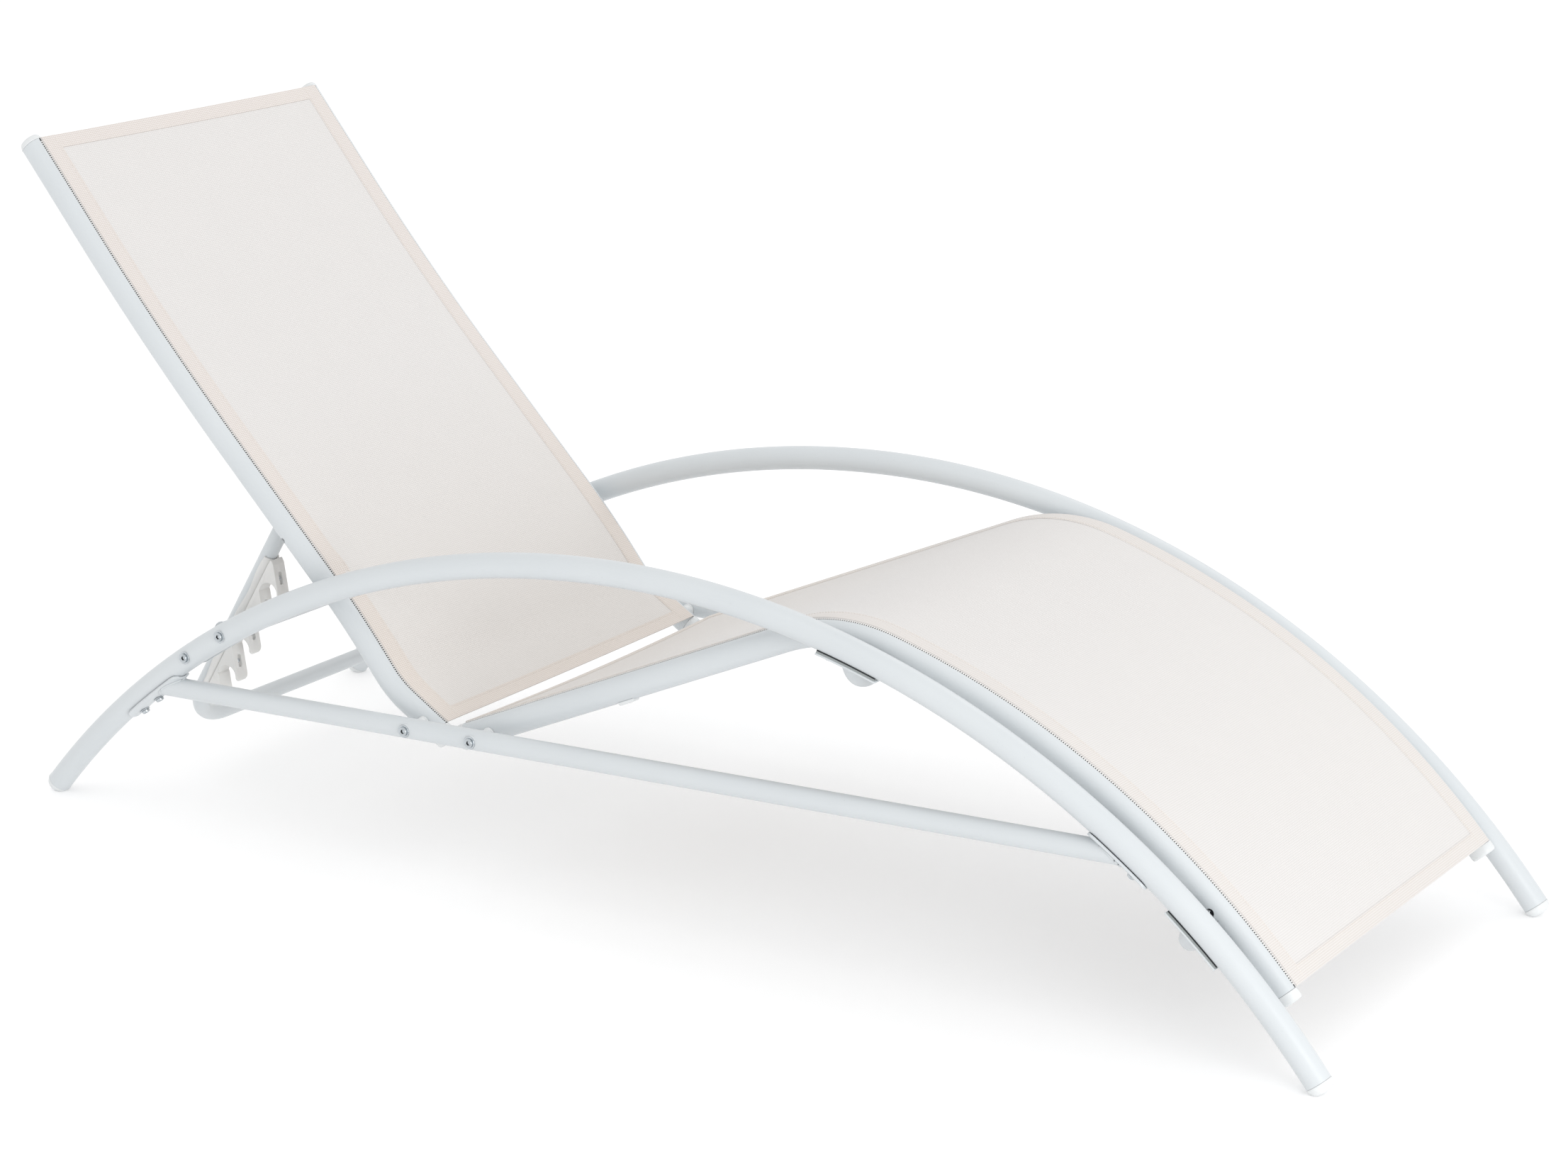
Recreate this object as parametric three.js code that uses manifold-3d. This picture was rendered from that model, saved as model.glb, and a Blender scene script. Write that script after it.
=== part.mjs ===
// Reclining sun lounger in millimetres, +Z up, foot end towards +X, near side towards -Y.
// Two arched side tubes and two straight lower rails carry a fixed seat-and-leg frame.
// The back frame hinges on the lower rails and is held up by a notched strut that hooks
// over a cross tube between the arches. Two fabric slings are held in the frame rails.
import * as THREE from 'three';
import { mergeVertices } from 'three/addons/utils/BufferGeometryUtils.js';
import Module from 'manifold-3d';

const wasm = await Module();
wasm.setup();

const GAP = 0.3;                      // air between pieces that touch
const CHORD_ERROR = 0.2;              // how far a facet may cut inside its arc
const CENTRE_X = 1.4;                 // moves the middle of the bounding box onto the origin

// Arched side tubes: a rear arc and a tighter front arc meet level at the crown.
const ARCH_R = 14.5;
const ARCH_Y = 290;
const CROWN = { x: 31, z: 407 };
const ARCH_REAR_RADIUS = 1150;
const ARCH_FRONT_RADIUS = 1060;
const ARCH_END_Z = 11;
const FOOT_CAP_HEIGHT = 11;

// Straight lower side rails, joined to the underside of each arch by curved plates.
const LOWER_R = 12;
const LOWER_REAR = { x: -650, z: 166.3 };
const LOWER_FRONT = { x: 655, z: 209.1 };
const PLATE_T = 3;
const REAR_PLATE = { from: -716, to: -634 };
const FRONT_PLATE = { from: 604, to: 672 };

// Oval rails of the back frame and of the seat-and-leg frame.
const RAIL_Y = 254;
const RAIL_HALF_WIDTH = 11;
const RAIL_HALF_DEPTH = 15;
const RAIL_CAP_LENGTH = 8;
const SLING_LIFT = 15.4;              // rail centreline up to the sling's lower face
const SLING_T = 1.5;
const SLING_HALF_WIDTH = 252;
const BACK_LINE = { x: -258.8, z: 179.7, heading: 148.4,
  runs: [[55.5, 0], [37.2, -19.9], [22.2, 0], [114.2, 5.9], [200, 0], [305.9, -5.1], [125.4, 0]] };
const SEAT_LINE = { x: -232.4, z: 184, heading: 23.5,
  runs: [[469.2, 0], [145.4, -38.8], [561, -32.7]] };

// Pivot bolts through the lower rails, with a plastic spacer between the rails.
const BACK_PIVOT_X = -283;
const SEAT_BOLT_X = -189;
const SPACER_R = 8;
const BOLT_R = 4;
const BORE_R = BOLT_R + GAP;
const WASHER_R = 7.5;
const WASHER_T = 1.2;
const HEAD_R = 6;
const HEAD_H = 3.5;

// Latch tube between the arches, with a bolted plate at each end.
const LATCH = { x: -577, z: 240 };
const LATCH_R = 12.5;
const LATCH_BOLT_X = [-610, -554];
const LATCH_PLATE_HALF_WIDTH = 13.5;

// U-shaped strut with a toothed rack on each leg; s runs up the leg from the latch tube.
const STRUT_ANGLE = 58.4;
const STRUT_R = 10;
const STRUT_LEG_Y = 205;
const STRUT_BEND = 75;
const STRUT_TOP = 156;
const STRUT_END = 10;
const STRUT_BOTTOM = -201;
const NOTCH_OFFSET = 28;              // notch centres stand this far in front of the leg
const NOTCH_R = 13.2;
const NOTCH_PITCH = 44.8;
const NOTCH_LIP = Math.PI / 6;        // the round part starts this far round from the tip side
const NOTCHES = [1, 0, -1, -2];       // in pitches above the latch tube
const RACK_WIDTH = 20;
const RACK_TIP = 44;
const RACK_ROOT = 17;

// Lugs on the back rails that carry the strut's hinge bolts.
const LUG_T = 4;
const LUG_R = 9;
const BUSH_R = 8;

// Dropped cross tubes under the leg frame and the saddle plates that bolt to the arches.
const CROSS_R = 12.5;
const CROSS_BEND = 30;
const CROSS_DROP = { knee: 35.5, foot: 47 };   // rail underside down to the tube's centre
const CROSS_X = { knee: 289, foot: 725.5 };
const SADDLE_X = { knee: 311, foot: 726 };
const SADDLE_LENGTH = 77;
const SADDLE_WIDTH = 34;
const BACK_CROSS_R = 10;
const BACK_CROSS_AT = [36, 560];      // distances up the back rail

const deg = THREE.MathUtils.degToRad;
const SIDES = [['near', -1], ['far', 1]];

const paint = () => new THREE.MeshStandardMaterial({ color: 0xe6ecee, roughness: 0.35, metalness: 0.1 });
const plastic = () => new THREE.MeshStandardMaterial({ color: 0xf0efeb, roughness: 0.5, metalness: 0 });
const steel = () => new THREE.MeshStandardMaterial({ color: 0xb4b8bb, roughness: 0.3, metalness: 0.9 });
const cloth = () => new THREE.MeshStandardMaterial({ color: 0xefe9e1, roughness: 0.9, metalness: 0 });

const group = new THREE.Group();
group.position.x = CENTRE_X;

function addPiece(name, geometry, material) {
  const mesh = new THREE.Mesh(geometry, material);
  mesh.name = name;
  group.add(mesh);
  return mesh;
}

// A plane curve in XZ made of straight runs and arcs that follow on without a kink.
// Each run is [length, turn in degrees]; a left turn is positive, headings start at +X.
class ArcChain extends THREE.Curve {
  constructor({ x, z, heading, runs }) {
    super();
    this.spec = { x, z, heading, runs };
    this.total = runs.reduce((sum, run) => sum + run[0], 0);
  }

  // Position and heading after a distance; past either end it goes on straight.
  at(distance) {
    let { x, z, heading, runs } = this.spec;
    let left = distance;
    runs.forEach(([length, turn], i) => {
      const last = i === runs.length - 1;
      const d = i === 0 && left < 0 ? left : Math.min(Math.max(left, 0), length);
      const bend = d > 0 ? turn * d / length : 0;
      const chord = bend === 0 ? d : d * Math.sin(deg(bend / 2)) / deg(bend / 2);
      x += chord * Math.cos(deg(heading + bend / 2));
      z += chord * Math.sin(deg(heading + bend / 2));
      heading += bend;
      left -= d;
      if (last && left > 0) {
        x += left * Math.cos(deg(heading));
        z += left * Math.sin(deg(heading));
      }
    });
    return { x, z, heading };
  }

  getPoint(t, target = new THREE.Vector3()) {
    const p = this.at(t * this.total);
    return target.set(p.x, 0, p.z);
  }

  // Distances of the cross-sections: one step per straight run, several per arc.
  stations() {
    const list = [0];
    this.spec.runs.forEach(([length, turn]) => {
      const radius = turn === 0 ? Infinity : length / Math.abs(deg(turn));
      const stepAngle = 2 * Math.acos(1 - CHORD_ERROR / radius);
      const count = turn === 0 ? 1 : Math.ceil(Math.abs(deg(turn)) / stepAngle);
      const from = list[list.length - 1];
      for (let i = 1; i <= count; i += 1) list.push(from + length * i / count);
    });
    return list;
  }

  // Spreads the extrusion's steps over the stations in place of equal lengths.
  getUtoTmapping(u) {
    const list = this.stations();
    const place = u * (list.length - 1);
    const i = Math.min(Math.floor(place), list.length - 2);
    return (list[i] + (list[i + 1] - list[i]) * (place - i)) / this.total;
  }

  // The distance along the curve at which it passes a given X.
  distanceAtX(x) {
    let low = 0;
    let high = this.total;
    const rising = this.at(high).x > this.at(low).x;
    for (let i = 0; i < 50; i += 1) {
      const mid = (low + high) / 2;
      if ((this.at(mid).x < x) === rising) low = mid;
      else high = mid;
    }
    return low;
  }

  // The parallel curve at a distance to the left.
  offset(left) {
    const { x, z, heading, runs } = this.spec;
    return new ArcChain({
      x: x - left * Math.sin(deg(heading)),
      z: z + left * Math.cos(deg(heading)),
      heading,
      runs: runs.map(([length, turn]) => [length - left * deg(turn), turn]),
    });
  }

  // The stretch between two distances.
  slice(from, to) {
    const start = this.at(from);
    let passed = 0;
    const runs = [];
    this.spec.runs.forEach(([length, turn]) => {
      const a = Math.max(from, passed);
      const b = Math.min(to, passed + length);
      if (b > a) runs.push([b - a, turn * (b - a) / length]);
      passed += length;
    });
    return new ArcChain({ ...start, runs });
  }
}

function ovalShape(halfWidth, halfDepth) {
  const shape = new THREE.Shape();
  shape.absellipse(0, 0, halfWidth, halfDepth, 0, 2 * Math.PI);
  return shape;
}

// A section swept along a curve: shape X lies along -Y, shape Y to the right of the heading.
function sweep(curve, shape, curveSegments = 6) {
  return new THREE.ExtrudeGeometry(shape, {
    steps: curve.stations().length - 1, curveSegments, bevelEnabled: false, extrudePath: curve,
  });
}

const tube = (curve, radius) => sweep(curve, ovalShape(radius, radius));

// A cylinder along Y between two values.
function cylinderY(radius, y0, y1, x, z, segments = 12) {
  const geometry = new THREE.CylinderGeometry(radius, radius, Math.abs(y1 - y0), segments);
  geometry.translate(x, (y0 + y1) / 2, z);
  return geometry;
}

function toSolid(geometry) {
  const bare = geometry.clone();
  bare.deleteAttribute('normal');
  bare.deleteAttribute('uv');
  const merged = mergeVertices(bare, 1e-4);
  return new wasm.Manifold(new wasm.Mesh({
    numProp: 3,
    vertProperties: new Float32Array(merged.attributes.position.array),
    triVerts: new Uint32Array(merged.index.array),
  }));
}

function fromSolid(solid) {
  const mesh = solid.getMesh();
  const geometry = new THREE.BufferGeometry();
  geometry.setAttribute('position', new THREE.BufferAttribute(mesh.vertProperties, 3));
  geometry.setIndex(new THREE.BufferAttribute(mesh.triVerts, 1));
  return geometry;
}

const cut = (geometry, tools) => fromSolid(
  tools.reduce((solid, tool) => solid.subtract(toSolid(tool)), toSolid(geometry)));

// An outline in the XZ plane, given as [x, z] points, made solid between two Y values.
function slabXZ(shape, y0, y1, curveSegments = 5) {
  const low = Math.min(y0, y1);
  const geometry = new THREE.ExtrudeGeometry(shape, {
    depth: Math.abs(y1 - y0), bevelEnabled: false, curveSegments,
  });
  geometry.rotateX(Math.PI / 2);
  geometry.translate(0, low + Math.abs(y1 - y0), 0);
  return geometry;
}

// Curves that everything else is placed from.
const rearAngle = Math.acos(1 - (CROWN.z - ARCH_END_Z) / ARCH_REAR_RADIUS);
const frontAngle = Math.acos(1 - (CROWN.z - ARCH_END_Z) / ARCH_FRONT_RADIUS);
const arch = new ArcChain({
  x: CROWN.x - ARCH_REAR_RADIUS * Math.sin(rearAngle),
  z: ARCH_END_Z,
  heading: THREE.MathUtils.radToDeg(rearAngle),
  runs: [
    [ARCH_REAR_RADIUS * rearAngle, -THREE.MathUtils.radToDeg(rearAngle)],
    [ARCH_FRONT_RADIUS * frontAngle, -THREE.MathUtils.radToDeg(frontAngle)],
  ],
});
const backSling = new ArcChain(BACK_LINE);
const seatSling = new ArcChain(SEAT_LINE);
const backRail = backSling.offset(SLING_LIFT);
const seatRail = seatSling.offset(-SLING_LIFT);
const lowerZ = (x) => LOWER_REAR.z
  + (LOWER_FRONT.z - LOWER_REAR.z) * (x - LOWER_REAR.x) / (LOWER_FRONT.x - LOWER_REAR.x);
const along = { x: Math.cos(deg(STRUT_ANGLE)), z: Math.sin(deg(STRUT_ANGLE)) };
const ahead = { x: along.z, z: -along.x };
const strutPoint = (s, n) => ({
  x: LATCH.x + along.x * s + ahead.x * (n - NOTCH_OFFSET),
  z: LATCH.z + along.z * s + ahead.z * (n - NOTCH_OFFSET),
});
const strutHinge = strutPoint(STRUT_TOP, 0);
const backPivot = { x: BACK_PIVOT_X, z: lowerZ(BACK_PIVOT_X) };
const seatBolt = { x: SEAT_BOLT_X, z: lowerZ(SEAT_BOLT_X) };
const latchBolts = LATCH_BOLT_X.map((x) => arch.at(arch.distanceAtX(x)));

// A button-head bolt on its washer: head outside at the given Y, shank running inwards.
function boltGeometry(side, place, faceY, length) {
  const profile = [
    [0, -length], [BOLT_R, -length], [BOLT_R, GAP], [WASHER_R, GAP], [WASHER_R, GAP + WASHER_T],
    [HEAD_R, GAP + WASHER_T], [HEAD_R * 0.9, GAP + WASHER_T + HEAD_H * 0.6],
    [HEAD_R * 0.55, GAP + WASHER_T + HEAD_H], [0, GAP + WASHER_T + HEAD_H],
  ];
  const geometry = new THREE.LatheGeometry(profile.map(([r, h]) => new THREE.Vector2(r, h)), 12);
  if (side < 0) geometry.rotateX(Math.PI);
  geometry.translate(place.x, side * faceY, place.z);
  return geometry;
}

const bore = (side, place, y0, y1) => cylinderY(BORE_R, side * y0, side * y1, place.x, place.z);

function addArch(label, side) {
  const geometry = tube(arch, ARCH_R);
  geometry.translate(0, side * ARCH_Y, 0);
  const holes = latchBolts.map((bolt) => bore(side, bolt, ARCH_Y - 30, ARCH_Y + 30));
  addPiece(`arch_${label}`, cut(geometry, holes), paint());
}

// A plastic dome on a tube end, flattened where it meets the floor.
function addFootCap(name, side, end, outward) {
  const dome = [[0, 0], [ARCH_R, 0]];
  for (let i = 1; i <= 5; i += 1) {
    const a = deg(i * 18);
    dome.push([i === 5 ? 0 : ARCH_R * Math.cos(a), FOOT_CAP_HEIGHT * Math.sin(a)]);
  }
  const geometry = new THREE.LatheGeometry(dome.map(([r, h]) => new THREE.Vector2(r, h)), 16);
  geometry.translate(0, GAP, 0);
  geometry.applyQuaternion(new THREE.Quaternion().setFromUnitVectors(
    new THREE.Vector3(0, 1, 0), new THREE.Vector3(Math.cos(deg(outward)), 0, Math.sin(deg(outward)))));
  geometry.translate(end.x, side * ARCH_Y, end.z);
  const below = new THREE.BoxGeometry(100, 100, 50);
  below.translate(end.x, side * ARCH_Y, -25);
  addPiece(name, cut(geometry, [below]), plastic());
}

// A curved plate that hugs the underside of an arch over a stretch given in X.
function archPlate(fromX, toX) {
  const inner = ARCH_R + GAP;
  const outer = inner + PLATE_T;
  const reach = deg(52);
  const shape = new THREE.Shape();
  shape.absarc(0, 0, outer, Math.PI / 2 - reach, Math.PI / 2 + reach, false);
  shape.absarc(0, 0, inner, Math.PI / 2 + reach, Math.PI / 2 - reach, true);
  shape.closePath();
  const stretch = arch.slice(arch.distanceAtX(fromX), arch.distanceAtX(toX));
  return sweep(stretch, shape, 4);
}

function addLowerRail(label, side) {
  const run = [LOWER_FRONT.x - LOWER_REAR.x, LOWER_FRONT.z - LOWER_REAR.z];
  const path = new ArcChain({
    ...LOWER_REAR,
    heading: THREE.MathUtils.radToDeg(Math.atan2(run[1], run[0])),
    runs: [[Math.hypot(...run), 0]],
  });
  const rail = tube(path, LOWER_R);
  const sleeve = tube(arch, ARCH_R + PLATE_T + 5 * GAP);
  [rail, sleeve].forEach((geometry) => geometry.translate(0, side * ARCH_Y, 0));
  const holes = [backPivot, seatBolt].map((bolt) => bore(side, bolt, ARCH_Y - 30, ARCH_Y + 30));
  addPiece(`lower_rail_${label}`, cut(rail, [sleeve, ...holes]), paint());
  Object.entries({ rear: REAR_PLATE, front: FRONT_PLATE }).forEach(([end, { from, to }]) => {
    const plate = archPlate(from, to);
    plate.translate(0, side * ARCH_Y, 0);
    addPiece(`${end}_plate_${label}`, plate, paint());
  });
}

// Oval cap on a rail end, pointing along a heading.
function addRailCap(name, side, end, outward) {
  const profile = [[0, 0], [1, 0], [1, 0.45], [0.93, 0.78], [0.7, 1], [0, 1]];
  const geometry = new THREE.LatheGeometry(profile.map(([r, h]) => new THREE.Vector2(r, h)), 16);
  geometry.scale(RAIL_HALF_DEPTH, RAIL_CAP_LENGTH, RAIL_HALF_WIDTH);
  geometry.translate(0, GAP, 0);
  geometry.rotateX(Math.PI);
  geometry.rotateZ(Math.PI);
  geometry.rotateX(Math.PI / 2);
  geometry.rotateY(-deg(outward - 90));
  geometry.translate(end.x, side * RAIL_Y, end.z);
  addPiece(name, geometry, plastic());
}

function addRail(name, label, side, rail, bolt) {
  const geometry = sweep(rail, ovalShape(RAIL_HALF_WIDTH, RAIL_HALF_DEPTH), 8);
  geometry.translate(0, side * RAIL_Y, 0);
  const hole = bore(side, bolt, RAIL_Y - 2, RAIL_Y + 30);
  addPiece(`${name}_rail_${label}`, cut(geometry, [hole]), paint());
  const start = rail.at(0);
  const end = rail.at(rail.total);
  addRailCap(`${name}_cap_start_${label}`, side, start, start.heading + 180);
  addRailCap(`${name}_cap_end_${label}`, side, end, end.heading);
}

// A sling as a plain sheet lying on its two rails.
function addSling(name, line, leftSign) {
  const shape = new THREE.Shape();
  const inner = 0;
  const outer = -leftSign * SLING_T;
  shape.moveTo(-SLING_HALF_WIDTH, inner);
  shape.lineTo(SLING_HALF_WIDTH, inner);
  shape.lineTo(SLING_HALF_WIDTH, outer);
  shape.lineTo(-SLING_HALF_WIDTH, outer);
  shape.closePath();
  addPiece(name, sweep(line, shape), cloth());
}

function addPivot(name, label, side, place) {
  const lowerInner = ARCH_Y - LOWER_R;
  const railOuter = RAIL_Y + RAIL_HALF_WIDTH;
  const spacer = cylinderY(SPACER_R, side * (railOuter + GAP), side * (lowerInner - GAP), place.x, place.z);
  addPiece(`${name}_spacer_${label}`, cut(spacer, [bore(side, place, railOuter - 5, lowerInner + 5)]), plastic());
  const length = ARCH_Y + LOWER_R - RAIL_Y - 1;
  addPiece(`${name}_bolt_${label}`, boltGeometry(side, place, ARCH_Y + LOWER_R, length), steel());
}

function addLatchPlate(label, side) {
  const [a, b] = latchBolts;
  const angle = Math.atan2(b.z - a.z, b.x - a.x);
  const shape = new THREE.Shape();
  shape.absarc(0, 0, LATCH_PLATE_HALF_WIDTH, Math.PI / 2, 1.5 * Math.PI, false);
  shape.absarc(Math.hypot(b.x - a.x, b.z - a.z), 0, LATCH_PLATE_HALF_WIDTH, -Math.PI / 2, Math.PI / 2, false);
  shape.closePath();
  const outer = ARCH_Y - ARCH_R - GAP;
  const geometry = slabXZ(shape, side * outer, side * (outer - PLATE_T));
  geometry.rotateY(-angle);
  geometry.translate(a.x, 0, a.z);
  const holes = latchBolts.map((bolt) => bore(side, bolt, ARCH_Y - 30, ARCH_Y));
  addPiece(`latch_plate_${label}`, cut(geometry, holes), paint());
  latchBolts.forEach((bolt, i) => {
    const length = 2 * ARCH_R + PLATE_T + 3;
    addPiece(`latch_bolt_${i + 1}_${label}`, boltGeometry(side, bolt, ARCH_Y + ARCH_R, length), steel());
  });
}

function addLatchTube() {
  const half = ARCH_Y - ARCH_R - PLATE_T - 2 * GAP;
  addPiece('latch_tube', cylinderY(LATCH_R, -half, half, LATCH.x, LATCH.z, 16), paint());
}

// A U in the plane of +Y and `up`: two legs joined by bends and a straight bar.
function uTube(halfWidth, bend, legLength, radius, bar, upAngle) {
  const curve = new ArcChain({
    x: -halfWidth, z: bend + legLength, heading: -90,
    runs: [[legLength, 0], [bend * Math.PI / 2, 90], [2 * (halfWidth - bend), 0],
      [bend * Math.PI / 2, 90], [legLength, 0]],
  });
  const geometry = tube(curve, radius);
  const up = new THREE.Vector3(Math.cos(deg(upAngle)), 0, Math.sin(deg(upAngle)));
  const across = new THREE.Vector3(0, 1, 0);
  const basis = new THREE.Matrix4().makeBasis(across, up.clone().cross(across), up);
  geometry.applyMatrix4(basis);
  geometry.translate(bar.x, 0, bar.z);
  return geometry;
}

function addStrut() {
  const legLength = STRUT_TOP + STRUT_END - STRUT_BOTTOM - STRUT_BEND;
  const geometry = uTube(STRUT_LEG_Y, STRUT_BEND, legLength, STRUT_R,
    strutPoint(STRUT_BOTTOM, 0), STRUT_ANGLE);
  const holes = SIDES.map(([, side]) => bore(side, strutHinge, STRUT_LEG_Y - 4, STRUT_LEG_Y + 20));
  addPiece('strut', cut(geometry, holes), paint());
}

// Toothed rack: sloping faces with a round notch under each tip, open down the leg.
function rackShape() {
  const back = STRUT_R + GAP;
  const shape = new THREE.Shape();
  const top = NOTCHES[0] * NOTCH_PITCH;
  shape.moveTo(back, top + 40);
  NOTCHES.forEach((step) => {
    const s = step * NOTCH_PITCH;
    shape.lineTo(RACK_ROOT, s + 36);
    shape.lineTo(RACK_TIP, s + 4.4);
    shape.lineTo(RACK_TIP - 0.6, s + 2);
    shape.absarc(NOTCH_OFFSET, s, NOTCH_R, NOTCH_LIP, Math.PI, false);
    shape.lineTo(NOTCH_OFFSET - NOTCH_R, s - 7);
  });
  const last = NOTCHES[NOTCHES.length - 1] * NOTCH_PITCH;
  shape.lineTo(RACK_ROOT, last - 8);
  shape.lineTo(RACK_TIP - 10, last - 28);
  shape.lineTo(RACK_TIP - 14, last - 36);
  shape.lineTo(back, last - 44);
  shape.closePath();
  return shape;
}

function addRack(label, side) {
  const shape = rackShape();
  const middle = side * STRUT_LEG_Y;
  const geometry = new THREE.ExtrudeGeometry(shape, {
    depth: RACK_WIDTH, bevelEnabled: false, curveSegments: 5,
  });
  geometry.translate(0, 0, -RACK_WIDTH / 2);
  // Shape X goes ahead of the leg, shape Y up the leg, the width along Y.
  const basis = new THREE.Matrix4().makeBasis(
    new THREE.Vector3(ahead.x, 0, ahead.z), new THREE.Vector3(along.x, 0, along.z),
    new THREE.Vector3(0, -1, 0));
  geometry.applyMatrix4(basis);
  const foot = strutPoint(0, 0);
  geometry.translate(foot.x, middle, foot.z);
  addPiece(`rack_${label}`, geometry, plastic());
}

// A lug flat on the inside of a back rail, with its hinge bolt and bush.
function addStrutHinge(label, side) {
  const near = backRail.at(backRail.distanceAtX(strutHinge.x));
  const outer = RAIL_Y - RAIL_HALF_WIDTH - GAP;
  const inner = outer - LUG_T;
  const shape = new THREE.Shape();
  const root = { x: near.x + 4, z: near.z - 4 };
  const angle = Math.atan2(root.z - strutHinge.z, root.x - strutHinge.x);
  const reach = Math.hypot(root.x - strutHinge.x, root.z - strutHinge.z);
  shape.absarc(0, 0, LUG_R, Math.PI / 2, 1.5 * Math.PI, false);
  shape.lineTo(reach, -LUG_R);
  shape.lineTo(reach, LUG_R);
  shape.closePath();
  const lug = slabXZ(shape, side * outer, side * inner);
  lug.rotateY(-angle);
  lug.translate(strutHinge.x, 0, strutHinge.z);
  addPiece(`strut_lug_${label}`, cut(lug, [bore(side, strutHinge, inner - 5, outer + 5)]), paint());
  const legFace = STRUT_LEG_Y + STRUT_R;
  const bush = cylinderY(BUSH_R, side * (inner - GAP), side * (legFace + GAP), strutHinge.x, strutHinge.z);
  addPiece(`strut_bush_${label}`, cut(bush, [bore(side, strutHinge, legFace - 5, inner + 5)]), plastic());
  const pin = cylinderY(BOLT_R, side * (outer - 0.2), side * (STRUT_LEG_Y - 3), strutHinge.x, strutHinge.z);
  addPiece(`strut_pin_${label}`, pin, steel());
}

function addBackCrossTubes() {
  const half = RAIL_Y - RAIL_HALF_WIDTH - GAP;
  ['lower', 'upper'].forEach((level, i) => {
    const p = backRail.at(BACK_CROSS_AT[i]);
    addPiece(`back_cross_${level}`, cylinderY(BACK_CROSS_R, -half, half, p.x, p.z), paint());
  });
}

// A dropped cross tube whose ends turn up to the undersides of the leg rails.
function addLegCross(name, x, below) {
  const on = seatRail.at(seatRail.distanceAtX(x));
  const drop = RAIL_HALF_DEPTH + below;
  const bar = { x: on.x + drop * Math.sin(deg(on.heading)), z: on.z - drop * Math.cos(deg(on.heading)) };
  const halfWidth = RAIL_Y;
  const legLength = drop - CROSS_BEND - RAIL_HALF_DEPTH * 0.7;
  const geometry = uTube(halfWidth, CROSS_BEND, legLength, CROSS_R, bar, on.heading + 90);
  const rails = SIDES.map(([, side]) => {
    const tool = sweep(seatRail, ovalShape(RAIL_HALF_WIDTH + GAP, RAIL_HALF_DEPTH + GAP), 8);
    tool.translate(0, side * RAIL_Y, 0);
    return tool;
  });
  addPiece(name, cut(geometry, rails), paint());
}

// A flat strip under the arch that reaches in to the cross tube's bend.
function addSaddle(name, label, side, x) {
  const middle = arch.distanceAtX(x);
  const stretch = arch.slice(middle - SADDLE_LENGTH / 2, middle + SADDLE_LENGTH / 2);
  const shape = new THREE.Shape();
  const top = ARCH_R + GAP;
  const outer = ARCH_Y + ARCH_R * 0.75;
  shape.moveTo(-SADDLE_WIDTH / 2, top);
  shape.lineTo(SADDLE_WIDTH / 2, top);
  shape.lineTo(SADDLE_WIDTH / 2, top + PLATE_T);
  shape.lineTo(-SADDLE_WIDTH / 2, top + PLATE_T);
  shape.closePath();
  const plate = sweep(stretch, shape);
  plate.translate(0, side * (outer - SADDLE_WIDTH / 2), 0);
  addPiece(`${name}_saddle_${label}`, plate, paint());
}

SIDES.forEach(([label, side]) => {
  addArch(label, side);
  const rear = arch.at(0);
  const front = arch.at(arch.total);
  addFootCap(`rear_foot_${label}`, side, rear, rear.heading + 180);
  addFootCap(`front_foot_${label}`, side, front, front.heading);
  addLowerRail(label, side);
  addPivot('back', label, side, backPivot);
  addPivot('seat', label, side, seatBolt);
  addLatchPlate(label, side);
  addRail('seat', label, side, seatRail, seatBolt);
  addRail('back', label, side, backRail, backPivot);
  addStrutHinge(label, side);
  addRack(label, side);
  Object.entries(SADDLE_X).forEach(([name, x]) => addSaddle(name, label, side, x));
});
addLatchTube();
addStrut();
addBackCrossTubes();
Object.entries(CROSS_X).forEach(([name, x]) => addLegCross(`${name}_cross_tube`, x, CROSS_DROP[name]));
addSling('seat_sling', seatSling, 1);
addSling('back_sling', backSling, -1);

export default group;
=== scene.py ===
# Reclining sun lounger: the visual model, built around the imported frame.
# Shapes are worked out in millimetres; mesh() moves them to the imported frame's origin and into metres.
# X runs from the head end to the foot end, the near side is at -Y, and Z is up.
import math
import random
import bpy
import bmesh
from mathutils import Matrix, Vector


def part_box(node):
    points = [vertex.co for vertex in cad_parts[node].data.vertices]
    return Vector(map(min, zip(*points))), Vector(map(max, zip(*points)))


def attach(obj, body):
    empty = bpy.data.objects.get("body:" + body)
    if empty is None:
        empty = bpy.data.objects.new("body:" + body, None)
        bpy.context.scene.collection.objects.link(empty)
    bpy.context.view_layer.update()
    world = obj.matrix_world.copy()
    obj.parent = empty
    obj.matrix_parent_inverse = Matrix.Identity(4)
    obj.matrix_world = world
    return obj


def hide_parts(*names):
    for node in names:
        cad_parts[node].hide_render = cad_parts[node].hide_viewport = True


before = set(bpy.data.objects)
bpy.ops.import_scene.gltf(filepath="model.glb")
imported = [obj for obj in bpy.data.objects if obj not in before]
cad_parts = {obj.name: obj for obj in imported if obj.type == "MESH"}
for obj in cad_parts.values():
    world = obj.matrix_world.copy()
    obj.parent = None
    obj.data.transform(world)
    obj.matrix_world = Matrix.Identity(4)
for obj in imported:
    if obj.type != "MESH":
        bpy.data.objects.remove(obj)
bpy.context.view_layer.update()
random.seed(7)

MM = 0.001
SIDES = (("near", -1), ("far", 1))

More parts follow.
